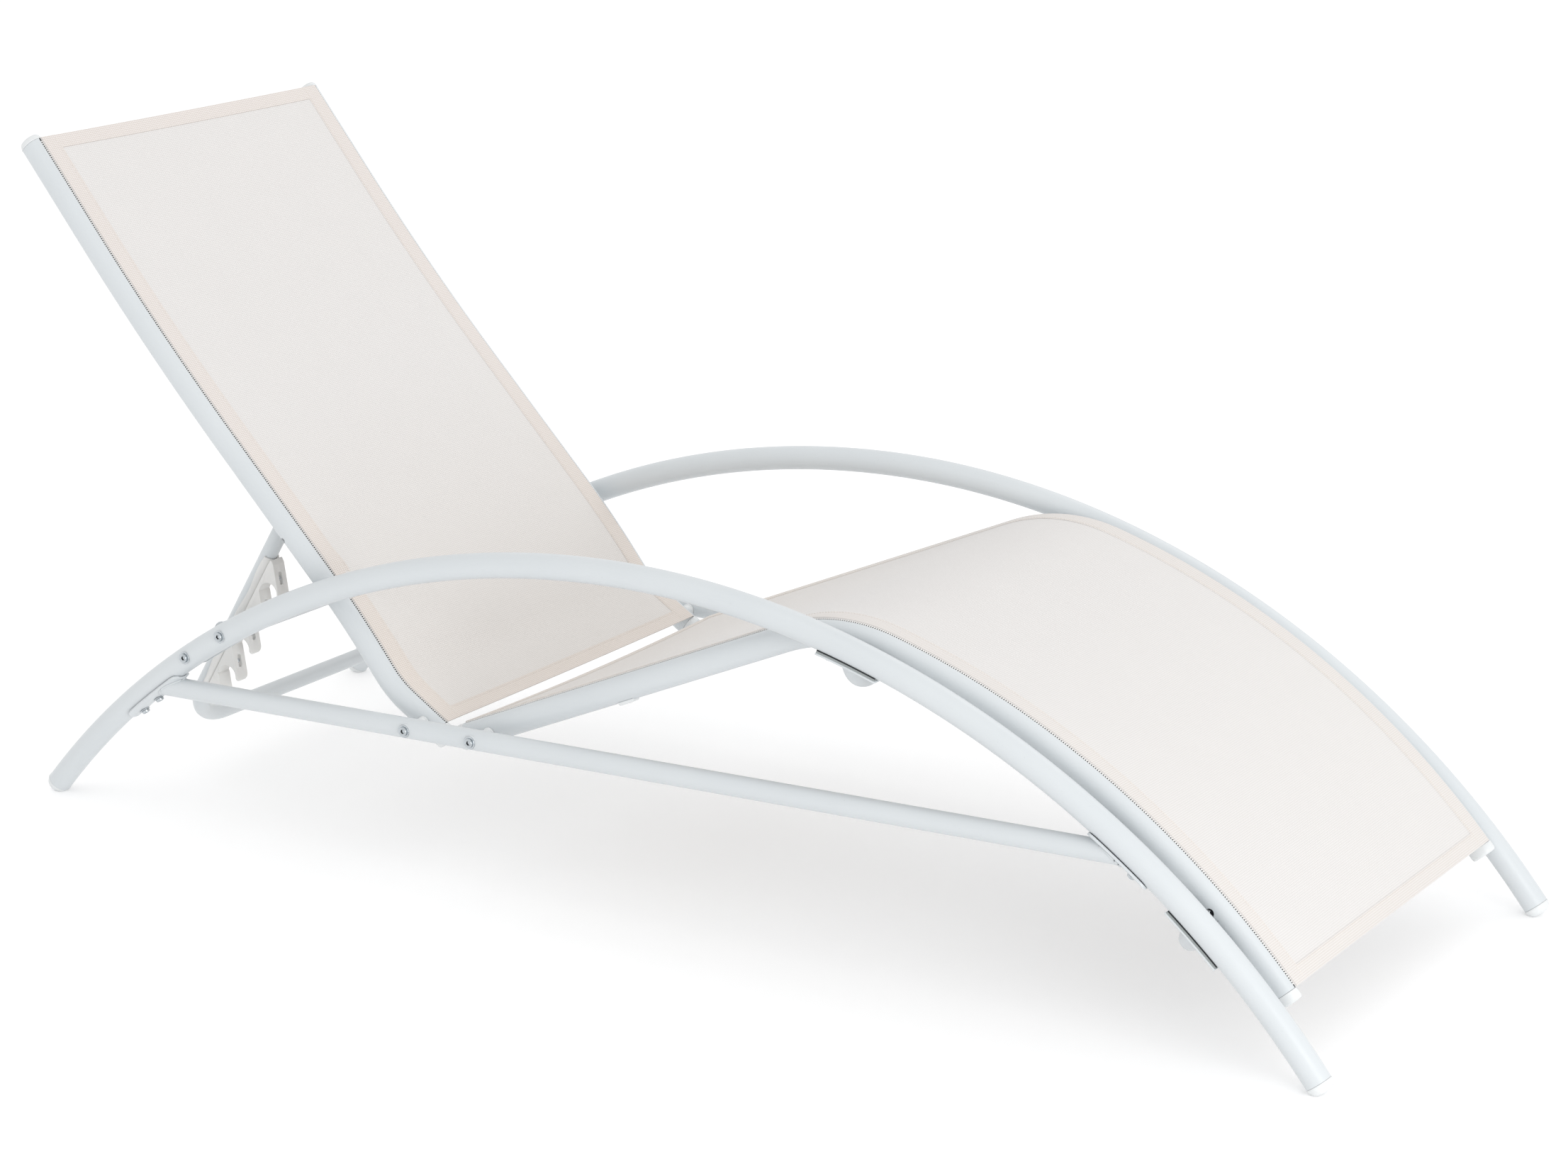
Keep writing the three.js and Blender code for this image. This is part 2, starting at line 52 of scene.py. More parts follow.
# Side tubes, lower rails and plates.
ARCH_R = 14.5
ARCH_Y = 290
CROWN = (31, 407)
ARCH_REAR_RADIUS = 1150
ARCH_FRONT_RADIUS = 1060
ARCH_END_Z = 11
LOWER_R = 12
LOWER_REAR = (-650, 166.3)
LOWER_FRONT = (655, 209.1)
PLATE_T = 3
PLATE_CURVE = 17.5
PLATE_REACH = 46              # degrees to each side of the tube's underside
PLATE_CORNER = 9
PLATES = {"rear": (-716, -634), "front": (604, 672)}
PLATE_BOLTS = {"rear": (-702, -678), "front": (655,)}

# Frame rails and slings.
RAIL_Y = 254
RAIL_HALF_WIDTH = 11
RAIL_HALF_DEPTH = 15
SLING_LIFT = 15.4
GROOVE_Y = 252.6
GROOVE_HALF = 1.2
GROOVE_DEPTH = 6
BACK_LINE = ((-258.8, 179.7), 148.4, ((55.5, 0), (37.2, -19.9), (22.2, 0), (114.2, 5.9),
                                      (200, 0), (305.9, -5.1), (125.4, 0)))
SEAT_LINE = ((-232.4, 184), 23.5, ((469.2, 0), (145.4, -38.8), (561, -32.7)))
HEM_SIDE = 25
HEM_END = 18
STITCH_PITCH = 3.6
BACK_SAG = 3.2
SEAT_SAG = 7

# Bolts, latch, strut and racks.
BACK_PIVOT_X = -283
SEAT_BOLT_X = -189
LATCH = (-577, 240)
LATCH_R = 12.5
LATCH_BOLT_X = (-610, -554)
LATCH_PLATE_R = 13.5
STRUT_ANGLE = 58.4
STRUT_R = 10
STRUT_LEG_Y = 205
STRUT_BEND = 75
STRUT_TOP = 156
STRUT_END = 10
STRUT_BOTTOM = -201
NOTCH_OFFSET = 28
NOTCH_R = 13.2
NOTCH_PITCH = 44.8
NOTCHES = (1, 0, -1, -2)
RACK_HALF_WIDTH = 10
RACK_CORNER = 5
RACK_SLICES = (5, 6.8, 8.2, 9.2, 9.8, 10)   # from the rack's middle; they round its hooks' corners
RACK_SCREW_UP = 36            # where a tooth's outer face starts, above its notch

# Dropped cross tubes and their saddles.
CROSS_R = 12.5
CROSS_BEND = 30
CROSS_DROP = {"knee": 35.5, "foot": 47}
CROSS_X = {"knee": 289, "foot": 725.5}
SADDLE_X = {"knee": 311, "foot": 726}
SADDLE_LENGTH = 77
SADDLE_WIDTH = 34
SADDLE_BOLTS = (-26, 27)
BACK_CROSS_R = 10
BACK_CROSS_AT = {"lower": 36, "upper": 560}
# Where each access hole is: x, radius, lean to the underside, and how far out the disc of painted shade at
# its bottom lies.
RAIL_HOLES = {"back": (-479, 3.6, 1.3, 10.8), "seat": (722, 5.2, 0.45, 6.2)}
EDGE_PITCH = 2.7
# The groove's dark line is painted shadow; the yarns that cross it are real.
GROOVE_SHADOW_AND_YARN = {"back": (0.8, 0.68), "seat": (0.6, 0.8)}   # half width of the dark line, yarn radius
WEAVE = (0.0031, 0.0024)      # yarn pitch across and along the cloth, in metres
LUG_R = 9

latch_low, latch_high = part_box("latch_tube")
SHIFT = (latch_low.x + latch_high.x) / 2 / MM - LATCH[0]


# ---------------------------------------------------------------- plane curves

class Chain:
    """Straight runs and arcs in the XZ plane; each run is (length, left turn in degrees)."""

    def __init__(self, start, heading, runs):
        self.start, self.heading, self.runs = start, heading, tuple(runs)
        self.total = sum(run[0] for run in self.runs)

    def at(self, distance):
        x, z = self.start
        heading, left = self.heading, distance
        for i, (length, turn) in enumerate(self.runs):
            d = left if i == 0 and left < 0 else min(max(left, 0), length)
            bend = math.radians(turn) * d / length if d > 0 else 0
            chord = d * math.sin(bend / 2) / (bend / 2) if bend else d
            middle = math.radians(heading) + bend / 2
            x += chord * math.cos(middle)
            z += chord * math.sin(middle)
            heading += math.degrees(bend)
            left -= d
        if left > 0:
            x += left * math.cos(math.radians(heading))
            z += left * math.sin(math.radians(heading))
        return x, z, heading

    def distance_at(self, x):
        low, high = 0, self.total
        rising = self.at(high)[0] > self.at(low)[0]
        for _ in range(50):
            middle = (low + high) / 2
            if (self.at(middle)[0] < x) == rising:
                low = middle
            else:
                high = middle
        return low

    def offset(self, left):
        h = math.radians(self.heading)
        start = (self.start[0] - left * math.sin(h), self.start[1] + left * math.cos(h))
        return Chain(start, self.heading,
                     [(length - left * math.radians(turn), turn) for length, turn in self.runs])

    def stations(self, start=None, end=None, step=12):
        start = 0 if start is None else start
        end = self.total if end is None else end
        count = max(1, math.ceil((end - start) / step))
        return [start + (end - start) * i / count for i in range(count + 1)]

    def frame(self, distance, y=0):
        """Origin, across (+Y), left of the heading and along, at a distance."""
        x, z, heading = self.at(distance)
        c, s = math.cos(math.radians(heading)), math.sin(math.radians(heading))
        return (Vector((x, y, z)), Vector((0, 1, 0)), Vector((-s, 0, c)), Vector((c, 0, s)))


def arch_chain():
    rear = math.acos(1 - (CROWN[1] - ARCH_END_Z) / ARCH_REAR_RADIUS)
    front = math.acos(1 - (CROWN[1] - ARCH_END_Z) / ARCH_FRONT_RADIUS)
    start = (CROWN[0] - ARCH_REAR_RADIUS * math.sin(rear), ARCH_END_Z)
    return Chain(start, math.degrees(rear), ((ARCH_REAR_RADIUS * rear, -math.degrees(rear)),
                                             (ARCH_FRONT_RADIUS * front, -math.degrees(front))))


ARCH = arch_chain()
BACK_SLING = Chain(*BACK_LINE)
SEAT_SLING = Chain(*SEAT_LINE)
BACK_RAIL = BACK_SLING.offset(SLING_LIFT)
SEAT_RAIL = SEAT_SLING.offset(-SLING_LIFT)
BEND_AT = {BACK_SLING: 95, SEAT_SLING: 540}
LOWER_RUN = Vector((LOWER_FRONT[0] - LOWER_REAR[0], LOWER_FRONT[1] - LOWER_REAR[1]))
LOWER_HEADING = math.degrees(math.atan2(LOWER_RUN.y, LOWER_RUN.x))
LOWER = Chain(LOWER_REAR, LOWER_HEADING, ((LOWER_RUN.length, 0),))
STRUT_UP = Vector((math.cos(math.radians(STRUT_ANGLE)), 0, math.sin(math.radians(STRUT_ANGLE))))
STRUT_AHEAD = Vector((STRUT_UP.z, 0, -STRUT_UP.x))
HOOK_SLOPE = Vector((27, -31.6)).normalized()   # ahead and up, along a hook's outer face


def strut_point(up, ahead, y=0):
    base = Vector((LATCH[0], y, LATCH[1]))
    return base + STRUT_UP * up + STRUT_AHEAD * (ahead - NOTCH_OFFSET)


# ---------------------------------------------------------------- mesh building

def mesh(name, verts, faces):
    data = bpy.data.meshes.new(name)
    data.from_pydata([((v[0] + SHIFT) * MM, v[1] * MM, v[2] * MM) for v in verts], [], faces)
    bm = bmesh.new()
    bm.from_mesh(data)
    bmesh.ops.recalc_face_normals(bm, faces=bm.faces)
    bm.to_mesh(data)
    bm.free()
    obj = bpy.data.objects.new(name, data)
    bpy.context.scene.collection.objects.link(obj)
    return obj


def finish_piece(obj, body, material, swaps=(), sharp=35, bevel=0):
    """Shades, paints and mounts a piece; bevel rounds its sharp edges."""
    if bevel:
        rounding = obj.modifiers.new("edges", "BEVEL")
        rounding.width = bevel * MM
        rounding.segments = 3
        rounding.limit_method = "ANGLE"
        rounding.angle_limit = math.radians(sharp)
        rounding.harden_normals = True
        bake(obj)
    for polygon in obj.data.polygons:
        polygon.use_smooth = True
    obj.data.set_sharp_from_angle(angle=math.radians(sharp))
    obj.data.materials.clear()
    obj.data.materials.append(material)
    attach(obj, body)
    if swaps:
        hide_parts(*swaps)
    return obj


def bake(obj):
    """Replaces an object's mesh by what its modifiers make of it."""
    bpy.context.view_layer.update()
    evaluated = obj.evaluated_get(bpy.context.evaluated_depsgraph_get())
    done = bpy.data.meshes.new_from_object(evaluated)
    obj.modifiers.clear()
    obj.data = done


def loft(rings, close=True):
    """Skins a list of equal rings; the first and last are capped."""
    verts = [p for ring in rings for p in ring]
    n = len(rings[0])
    faces = []
    for i in range(len(rings) - 1):
        for j in range(n):
            k = (j + 1) % n
            faces.append((i * n + j, i * n + k, (i + 1) * n + k, (i + 1) * n + j))
    if close:
        faces.append(tuple(range(n)))
        faces.append(tuple(range((len(rings) - 1) * n, len(rings) * n)))
    return verts, faces


def merge(*parts):
    verts, faces = [], []
    for v, f in parts:
        start = len(verts)
        verts += v
        faces += [tuple(i + start for i in face) for face in f]
    return verts, faces


def circle(radius, count=36):
    return [(radius * math.cos(2 * math.pi * i / count), radius * math.sin(2 * math.pi * i / count))
            for i in range(count)]


def strip_section(half, low, high):
    return [(-half, low), (half, low), (half, high), (-half, high)]


def ring(place, across, up, section):
    return [place + across * a + up * b for a, b in section]


def swept(chain, distances, y, section):
    return [ring(*chain.frame(d, y)[:3], section) for d in distances]


def turned(centre, axis, profile, count=36):
    """A lathe form: profile is (radius, height along axis), closed on the axis at both ends."""
    axis = axis.normalized()
    side = axis.orthogonal().normalized()
    other = axis.cross(side)
    rings = [[centre + axis * h + side * a + other * b for a, b in circle(max(r, 0.05), count)]
             for r, h in profile]
    return loft(rings)


def rounded(points, radius, steps=5):
    """Rounds the corners of an outline; radius is one number or one for each corner."""
    out = []
    n = len(points)
    for i, p in enumerate(points):
        r = radius[i] if isinstance(radius, (list, tuple)) else radius
        a, b, c = Vector(points[i - 1]), Vector(p), Vector(points[(i + 1) % n])
        u, v = (a - b), (c - b)
        angle = u.angle(v) if u.length > 1e-6 and v.length > 1e-6 else math.pi
        if r <= 0 or angle > math.radians(168):
            out.append(tuple(b))
            continue
        cut = min(r / math.tan(angle / 2), u.length * 0.48, v.length * 0.48)
        start, end = b + u.normalized() * cut, b + v.normalized() * cut
        for k in range(steps + 1):
            t = k / steps
            out.append(tuple((1 - t) ** 2 * start + 2 * t * (1 - t) * b + t * t * end))
    return out


def subtract(obj, verts, faces):
    """Cuts a closed form out of a piece."""
    tool = mesh("cutter", verts, faces)
    modifier = obj.modifiers.new("cut", "BOOLEAN")
    modifier.operation = "DIFFERENCE"
    modifier.solver = "EXACT"
    modifier.object = tool
    bake(obj)
    bpy.data.objects.remove(tool)


# ---------------------------------------------------------------- materials

class Nodes:
    """Shorthand for building a node material."""

    def __init__(self, name, color, roughness, **sockets):
        self.material = bpy.data.materials.new(name)
        self.material.use_nodes = True
        self.tree = self.material.node_tree
        self.shader = self.tree.nodes["Principled BSDF"]
        self.shader.inputs["Base Color"].default_value = (*color, 1)
        self.shader.inputs["Roughness"].default_value = roughness
        for socket, value in sockets.items():
            self.shader.inputs[socket.replace("_", " ")].default_value = value
        self.place = self.node("ShaderNodeTexCoord").outputs["Object"]

    def node(self, kind, **settings):
        made = self.tree.nodes.new(kind)
        for key, value in settings.items():
            setattr(made, key, value)
        return made

    def link(self, output, target):
        self.tree.links.new(output, target)
        return output

    def feed(self, node, **values):
        for key, value in values.items():
            socket = node.inputs[key.replace("_", " ")]
            if isinstance(value, bpy.types.NodeSocket):
                self.link(value, socket)
            else:
                socket.default_value = value
        return node

    def math(self, operation, a, b=0.0, c=0.0):
        made = self.node("ShaderNodeMath", operation=operation)
        for i, value in enumerate((a, b, c)):
            if isinstance(value, bpy.types.NodeSocket):
                self.link(value, made.inputs[i])
            else:
                made.inputs[i].default_value = value
        return made.outputs[0]

    def noise(self, scale, detail=3.0, roughness=0.5):
        made = self.node("ShaderNodeTexNoise")
        self.feed(made, Vector=self.place, Scale=scale, Detail=detail, Roughness=roughness)
        return made.outputs["Fac"]

    def spread(self, value, low, high, to_low, to_high):
        made = self.node("ShaderNodeMapRange", clamp=True)
        self.feed(made, Value=value, From_Min=low, From_Max=high, To_Min=to_low, To_Max=to_high)
        return made.outputs["Result"]

    def blend(self, factor, a, b):
        """Mixes colours a and b; a Mix node's colour sockets are 6 and 7, its colour output is 2."""
        made = self.node("ShaderNodeMix", data_type="RGBA")
        self.link(factor, made.inputs[0])
        for socket, value in ((made.inputs[6], a), (made.inputs[7], b)):
            if isinstance(value, bpy.types.NodeSocket):
                self.link(value, socket)
            else:
                socket.default_value = (*value, 1)
        return made.outputs[2]

    def color(self, output):
        self.link(output, self.shader.inputs["Base Color"])

    def rough(self, output):
        self.link(output, self.shader.inputs["Roughness"])

    def bump(self, *layers):
        """Each layer is (height output, strength, distance in metres)."""
        normal = None
        for height, strength, distance in layers:
            made = self.node("ShaderNodeBump")
            self.feed(made, Height=height, Strength=strength, Distance=distance)
            if normal:
                self.link(normal, made.inputs["Normal"])
            normal = made.outputs["Normal"]
        self.link(normal, self.shader.inputs["Normal"])


def powder_coat():
    m = Nodes("powder_coat", (0.61, 0.64, 0.658), 0.36, Coat_Weight=0.10, Coat_Roughness=0.25)
    speck = m.spread(m.noise(420.0, 2.0), 0.70, 0.78, 0.0, 1.0)
    base = m.blend(m.noise(9.0, 2.0), (0.589, 0.621, 0.641), (0.629, 0.659, 0.675))
    m.color(m.blend(m.math("MULTIPLY", speck, 0.30), base, (0.48, 0.51, 0.525)))
    m.rough(m.spread(m.noise(60.0, 3.0), 0.3, 0.7, 0.31, 0.44))
    m.bump((m.noise(700.0, 2.0), 0.22, 0.0003), (m.noise(45.0, 2.0), 0.10, 0.0006))
    return m.material


def moulded_plastic(name, low, high):
    m = Nodes(name, high, 0.42, Subsurface_Weight=0.04)
    m.shader.inputs["Subsurface Radius"].default_value = (0.002, 0.0018, 0.0015)
    m.color(m.blend(m.noise(14.0, 3.0), low, high))
    m.rough(m.spread(m.noise(90.0, 3.0), 0.3, 0.7, 0.36, 0.50))
    m.bump((m.noise(1300.0, 2.0), 0.20, 0.00015), (m.noise(70.0, 2.0), 0.12, 0.0004))
    return m.material


def plated_steel():
    m = Nodes("plated_steel", (0.60, 0.62, 0.64), 0.24, Metallic=1.0)
    fine = m.noise(900.0, 4.0, 0.6)
    m.color(m.blend(m.noise(160.0, 3.0), (0.40, 0.44, 0.47), (0.66, 0.69, 0.71)))
    m.rough(m.spread(fine, 0.3, 0.7, 0.14, 0.34))
    m.bump((fine, 0.25, 0.0002))
    return m.material


# Dark metallic grey: painted shade on a saddle's top face, in the shadow of its tube.
def painted_saddle_shade():
    m = Nodes("saddle_shade_grey", (0.30, 0.325, 0.325), 0.5, Metallic=0.3)
    m.color(m.blend(m.noise(120.0, 3.0), (0.26, 0.285, 0.285), (0.35, 0.375, 0.375)))
    m.rough(m.spread(m.noise(300.0, 2.0), 0.3, 0.7, 0.42, 0.6))
    m.bump((m.noise(500.0, 2.0), 0.25, 0.0002))
    return m.material


# Near black: painted shade in gaps, hole bottoms, grooves and bolt sockets, and the real dark seams where
# caps meet their tubes.
def painted_shade_and_seam():
    m = Nodes("painted_shade_and_seam", (0.04, 0.042, 0.045), 0.8, Specular_IOR_Level=0.2)
    m.color(m.blend(m.noise(240.0, 3.0), (0.025, 0.027, 0.03), (0.06, 0.062, 0.066)))
    m.bump((m.noise(500.0, 2.0), 0.3, 0.0003))
    return m.material


def woven(name, yarn, shaded, gap, depth, foot=0.0):
    """Coated open weave with a UV map in metres; foot is how peach-coloured its start is."""
    peach = (0.66, 0.56, 0.445)
    m = Nodes(name, yarn, 0.62, Sheen_Weight=0.12, Sheen_Roughness=0.5)
    split = m.node("ShaderNodeSeparateXYZ")
    m.link(m.node("ShaderNodeUVMap", uv_map="cloth").outputs["UV"], split.inputs[0])
    across = m.math("MULTIPLY", split.outputs[0], 1 / WEAVE[0])
    along = m.math("MULTIPLY", split.outputs[1], 1 / WEAVE[1])
    parity = m.math("ABSOLUTE", m.math("MODULO", m.math("ADD", m.math("FLOOR", across),
                                                        m.math("FLOOR", along)), 2.0))
    warp = m.math("ABSOLUTE", m.math("SINE", m.math("MULTIPLY", across, math.pi)))
    weft = m.math("ABSOLUTE", m.math("SINE", m.math("MULTIPLY", along, math.pi)))
    over = m.math("MULTIPLY", warp, m.math("MULTIPLY_ADD", weft, 0.5, 0.5))
    under = m.math("MULTIPLY", weft, m.math("MULTIPLY_ADD", warp, 0.5, 0.5))
    height = m.math("ADD", m.math("MULTIPLY", over, parity),
                    m.math("MULTIPLY", under, m.math("SUBTRACT", 1.0, parity)))
    cloud = m.noise(22.0, 3.0)
    streak = m.node("ShaderNodeTexNoise", noise_dimensions="2D")
    stretch = m.node("ShaderNodeCombineXYZ")
    m.link(m.math("MULTIPLY", split.outputs[0], 260.0), stretch.inputs[0])
    m.link(m.math("MULTIPLY", split.outputs[1], 9.0), stretch.inputs[1])
    m.feed(streak, Vector=stretch.outputs[0], Scale=1.0, Detail=2.0)
    streaks = m.math("MULTIPLY", streak.outputs["Fac"], 0.4)
    tone = m.blend(m.math("MULTIPLY_ADD", cloud, 0.6, streaks), shaded, yarn)
    crown = m.math("MULTIPLY", warp, weft)
    surface = m.blend(m.spread(crown, 0.04, 0.50, 0.0, 1.0), gap, tone)
    m.color(m.blend(m.spread(split.outputs[1], 0.08, 0.45, foot, 0.0), surface, peach))
    m.rough(m.spread(height, 0.0, 1.0, 0.80, 0.55))
    m.bump((height, 0.32, depth), (cloud, 0.15, 0.002))
    return m.material


def thread(name, low, high):
    m = Nodes(name, high, 0.7, Sheen_Weight=0.2)
    m.color(m.blend(m.noise(600.0, 3.0), low, high))
    m.bump((m.noise(1500.0, 2.0), 0.5, 0.0002))
    return m.material


PAINT = powder_coat()
PLASTIC = moulded_plastic("cap_plastic_white", (0.68, 0.70, 0.708), (0.735, 0.752, 0.755))
RACK = moulded_plastic("rack_plastic_white", (0.69, 0.685, 0.67), (0.755, 0.75, 0.735))
STEEL = plated_steel()
SADDLE_SHADE = painted_saddle_shade()
SHADE_AND_SEAM = painted_shade_and_seam()
CLOTH = woven("sling_weave", (0.725, 0.709, 0.697), (0.685, 0.669, 0.657), (0.625, 0.603, 0.587),
              0.0005, foot=0.12)
HEM = {"back": woven("hem_weave", (0.739, 0.700, 0.677), (0.699, 0.658, 0.635), (0.599, 0.539, 0.496),
                     0.0005, foot=0.20),
       "seat": woven("seat_hem_weave", (0.728, 0.703, 0.681), (0.688, 0.663, 0.641),
                     (0.608, 0.563, 0.531), 0.0005, foot=0.20)}
THREAD = thread("hem_thread", (0.70, 0.65, 0.60), (0.82, 0.78, 0.74))
EDGE = thread("edge_yarn", (0.76, 0.75, 0.73), (0.86, 0.85, 0.83))


# ---------------------------------------------------------------- shared details

def weld(name, points, body, radius=1.7):
    """A bumpy closed bead laid along a loop of points."""
    n, around = len(points), 8
    rings = []
    for i, p in enumerate(points):
        along = (points[(i + 1) % n] - points[i - 1]).normalized()
        side = along.orthogonal().normalized()
        size = radius * (1 + 0.16 * math.sin(i * 2.1) + random.uniform(-0.1, 0.1))
        rings.append(ring(p, side, along.cross(side), circle(size, around)))
    verts = [v for r in rings for v in r]
    faces = []
    for i in range(n):
        k = (i + 1) % n
        for j in range(around):
            nxt = (j + 1) % around
            faces.append((i * around + j, i * around + nxt, k * around + nxt, k * around + j))
    return finish_piece(mesh(name, verts, faces), body, PAINT, sharp=80)


def loop_on_tube(centre, axis, radius, distance, count=48):
    """Points round a tube at the height where distance(point) first grows past zero."""
    side = Vector((0, 1, 0))
    other = axis.cross(side).normalized()
    loop = []
    for a, b in circle(radius, count):
        base = centre + side * a + other * b
        low, high = -25.0, 45.0
        for _ in range(40):
            middle = (low + high) / 2
            if distance(base + axis * middle) < 0:
                low = middle
            else:
                high = middle
        loop.append(base + axis * low)
    return loop


def socket_bolt(name, centre, axis, body, swaps=(), washer=7.6, head=5.6, height=2.4):
    """A dished button-head bolt with a hexagon socket, standing on its washer."""
    axis = axis.normalized()
    side = axis.orthogonal().normalized()
    other = axis.cross(side)
    count = 48
    base = 1.3
    dome_bands = 9
    half_side = math.pi / 6

    def level(radius, h, hexagon=False):
        out = []
        for i in range(count):
            t = 2 * math.pi * i / count
            r = radius
            if hexagon:
                r = radius * math.cos(half_side) / math.cos((t + half_side) % (2 * half_side) - half_side)
            out.append(centre + axis * h + side * (r * math.cos(t)) + other * (r * math.sin(t)))
        return out

    disc = loft([level(3.0, 0.05), level(washer - 0.3, 0.05), level(washer, 0.3),
                 level(washer, 0.9), level(washer - 0.35, base), level(head - 0.6, base - 0.1),
                 level(3.0, base - 0.1)], False)
    top = base + height
    dome = loft([level(head - 0.5, base - 0.05), level(head - 0.3, base + 0.3), level(head, base + 0.5),
                 level(head * 0.98, base + height * 0.65), level(head * 0.90, top - 0.1),
                 level(head * 0.80, top), level(head * 0.72, top - 0.15), level(head * 0.60, top - 0.9),
                 level(head * 0.54, top - 1.0), level(head * 0.50, top - 1.0, True),
                 level(head * 0.48, 0.6, True), level(0.1, 0.5)])
    finish_piece(mesh(name + "_washer", *disc), body, STEEL, sharp=40)
    bolt = finish_piece(mesh(name, *dome), body, STEEL, swaps, sharp=40)
    # The socket's inside gets the near black: painted shade in the recess.
    bolt.data.materials.append(SHADE_AND_SEAM)
    for polygon in bolt.data.polygons[dome_bands * count:]:
        polygon.material_index = 1
    bolt.data.polygons[-2].material_index = 0   # the face under the head
    return bolt


def hex_nut(name, centre, axis, body, across=5.6, height=2.8):
    axis = axis.normalized()
    side = axis.orthogonal().normalized()
    other = axis.cross(side)
    corners = circle(across, 6)
    small = [(a * 0.88, b * 0.88) for a, b in corners]
    rings = [ring(centre + axis * h, side, other, s)
             for h, s in ((0.1, small), (0.8, corners), (height - 0.8, corners), (height, small))]
    stub = turned(centre, axis, [(0, height - 0.1), (3.2, height - 0.1), (3.2, height + 0.5),
                                 (2.7, height + 1), (0, height + 1)], 24)
    return finish_piece(mesh(name, *merge(loft(rings), stub)), body, STEEL, sharp=30)


# ---------------------------------------------------------------- side frames

def build_arch(label, side):
    y = side * ARCH_Y
    rings = swept(ARCH, ARCH.stations(step=14), y, circle(ARCH_R, 44))
    finish_piece(mesh(f"arch_tube_{label}", *loft(rings)), "frame", PAINT,
                 [f"arch_{label}"])
    for end, d, sign in (("rear", 0, -1), ("front", ARCH.total, 1)):
        place, across, up, along = ARCH.frame(d, y)
        profile = [(1.0, 0.2), (1.03, 0.7), (1.03, 2.2), (1.0, 2.8), (0.985, 3.4), (0.93, 6.0),
                   (0.80, 8.6), (0.58, 10.3), (0.30, 11.1), (0.004, 11.3)]
        levels = [ring(place + along * (sign * h), across, up, circle(ARCH_R * r, 44))
                  for r, h in profile]
        for level in levels:
            for p in level:
                p.z = max(p.z, 0.05)
        cap = mesh(f"foot_cap_{end}_{label}", *loft(levels))
        finish_piece(cap, "frame", PLASTIC, [f"{end}_foot_{label}"])
        seam = [ring(place + along * (sign * h), across, up, circle(ARCH_R * 0.985, 44))
                for h in (-0.4, 0.45)]
        finish_piece(mesh(f"foot_seam_{end}_{label}", *loft(seam)), "frame", SHADE_AND_SEAM)


def plate_arc(radius, reach, drop=0, count=10):
    """Points under a side tube on an arc that passes the given drop below the tube's underside."""
    centre = radius - ARCH_R - drop
    turns = [math.radians(-90 - reach + 2 * reach * i / count) for i in range(count + 1)]
    return [(radius * math.cos(t), centre + radius * math.sin(t)) for t in turns]


def plate_section(reach):
    return (plate_arc(PLATE_CURVE + PLATE_T, reach, 0.3 + PLATE_T)
            + plate_arc(PLATE_CURVE, reach, 0.3)[::-1])


# A sheet filling the gap between a plate and its tube, coloured near black as painted shadow.
def plate_shadow_section(reach):
    return plate_arc(PLATE_CURVE - 0.05, reach, 0.25) + plate_arc(ARCH_R - 0.4, reach, -0.4)[::-1]


def build_lower_rail(label, side):
    y = side * ARCH_Y
    axis = LOWER.frame(0)[3]
    start, end = LOWER.frame(0, y)[0], LOWER.frame(LOWER.total, y)[0]
    sleeve = ARCH_R + PLATE_T + 1.2

    def outside(point):
        near = ARCH.frame(ARCH.distance_at(point.x), y)
        away = point - near[0]
        return math.hypot(away.y, away.dot(near[2])) - sleeve

    rear_loop = loop_on_tube(start, axis, LOWER_R, outside)
    front_loop = loop_on_tube(end, -axis, LOWER_R, outside)
    count = len(rear_loop)
    front_loop = [front_loop[(count // 2 - i) % count] for i in range(count)]
    front_loop = [min(front_loop, key=lambda q: (q - p - axis * (q - p).dot(axis)).length)
                  for p in rear_loop]
    rings = [[p + (q - p) * t for p, q in zip(rear_loop, front_loop)]
             for t in [i / 24 for i in range(25)]]
    finish_piece(mesh(f"lower_tube_{label}", *loft(rings)), "frame", PAINT,
                 [f"lower_rail_{label}"])
    weld(f"weld_rear_{label}", rear_loop, "frame", 1.3)
    weld(f"weld_front_{label}", front_loop, "frame", 1.3)
    for name, (from_x, to_x) in PLATES.items():
        a, b = ARCH.distance_at(from_x), ARCH.distance_at(to_x)
        rings, plate_shadow_rings = [], []
        for i in range(25):
            d = a + (b - a) * i / 24
            edge = min(d - a, b - d) / PLATE_CORNER
            reach = PLATE_REACH * (0.62 + 0.38 * math.sqrt(max(0, 1 - (1 - min(edge, 1)) ** 2)))
            rings.append(ring(*ARCH.frame(d, y)[:3], plate_section(reach)))
            plate_shadow_rings.append(ring(*ARCH.frame(d, y)[:3], plate_shadow_section(reach * 0.93)))
        finish_piece(mesh(f"plate_{name}_{label}", *loft(rings)), "frame", PAINT,
                     [f"{name}_plate_{label}"], bevel=0.7)
        # Painted shadow in the gap between the plate and the tube.
        finish_piece(mesh(f"plate_gap_{name}_{label}", *loft(plate_shadow_rings[1:-1])), "frame", SHADE_AND_SEAM)
        for k, x in enumerate(PLATE_BOLTS[name]):
            place, _, up, _ = ARCH.frame(ARCH.distance_at(x), y)
            socket_bolt(f"plate_bolt_{name}_{k}_{label}", place - up * (ARCH_R + PLATE_T + 0.2), -up,
                        "frame", washer=6.4, head=5.0, height=3.0)


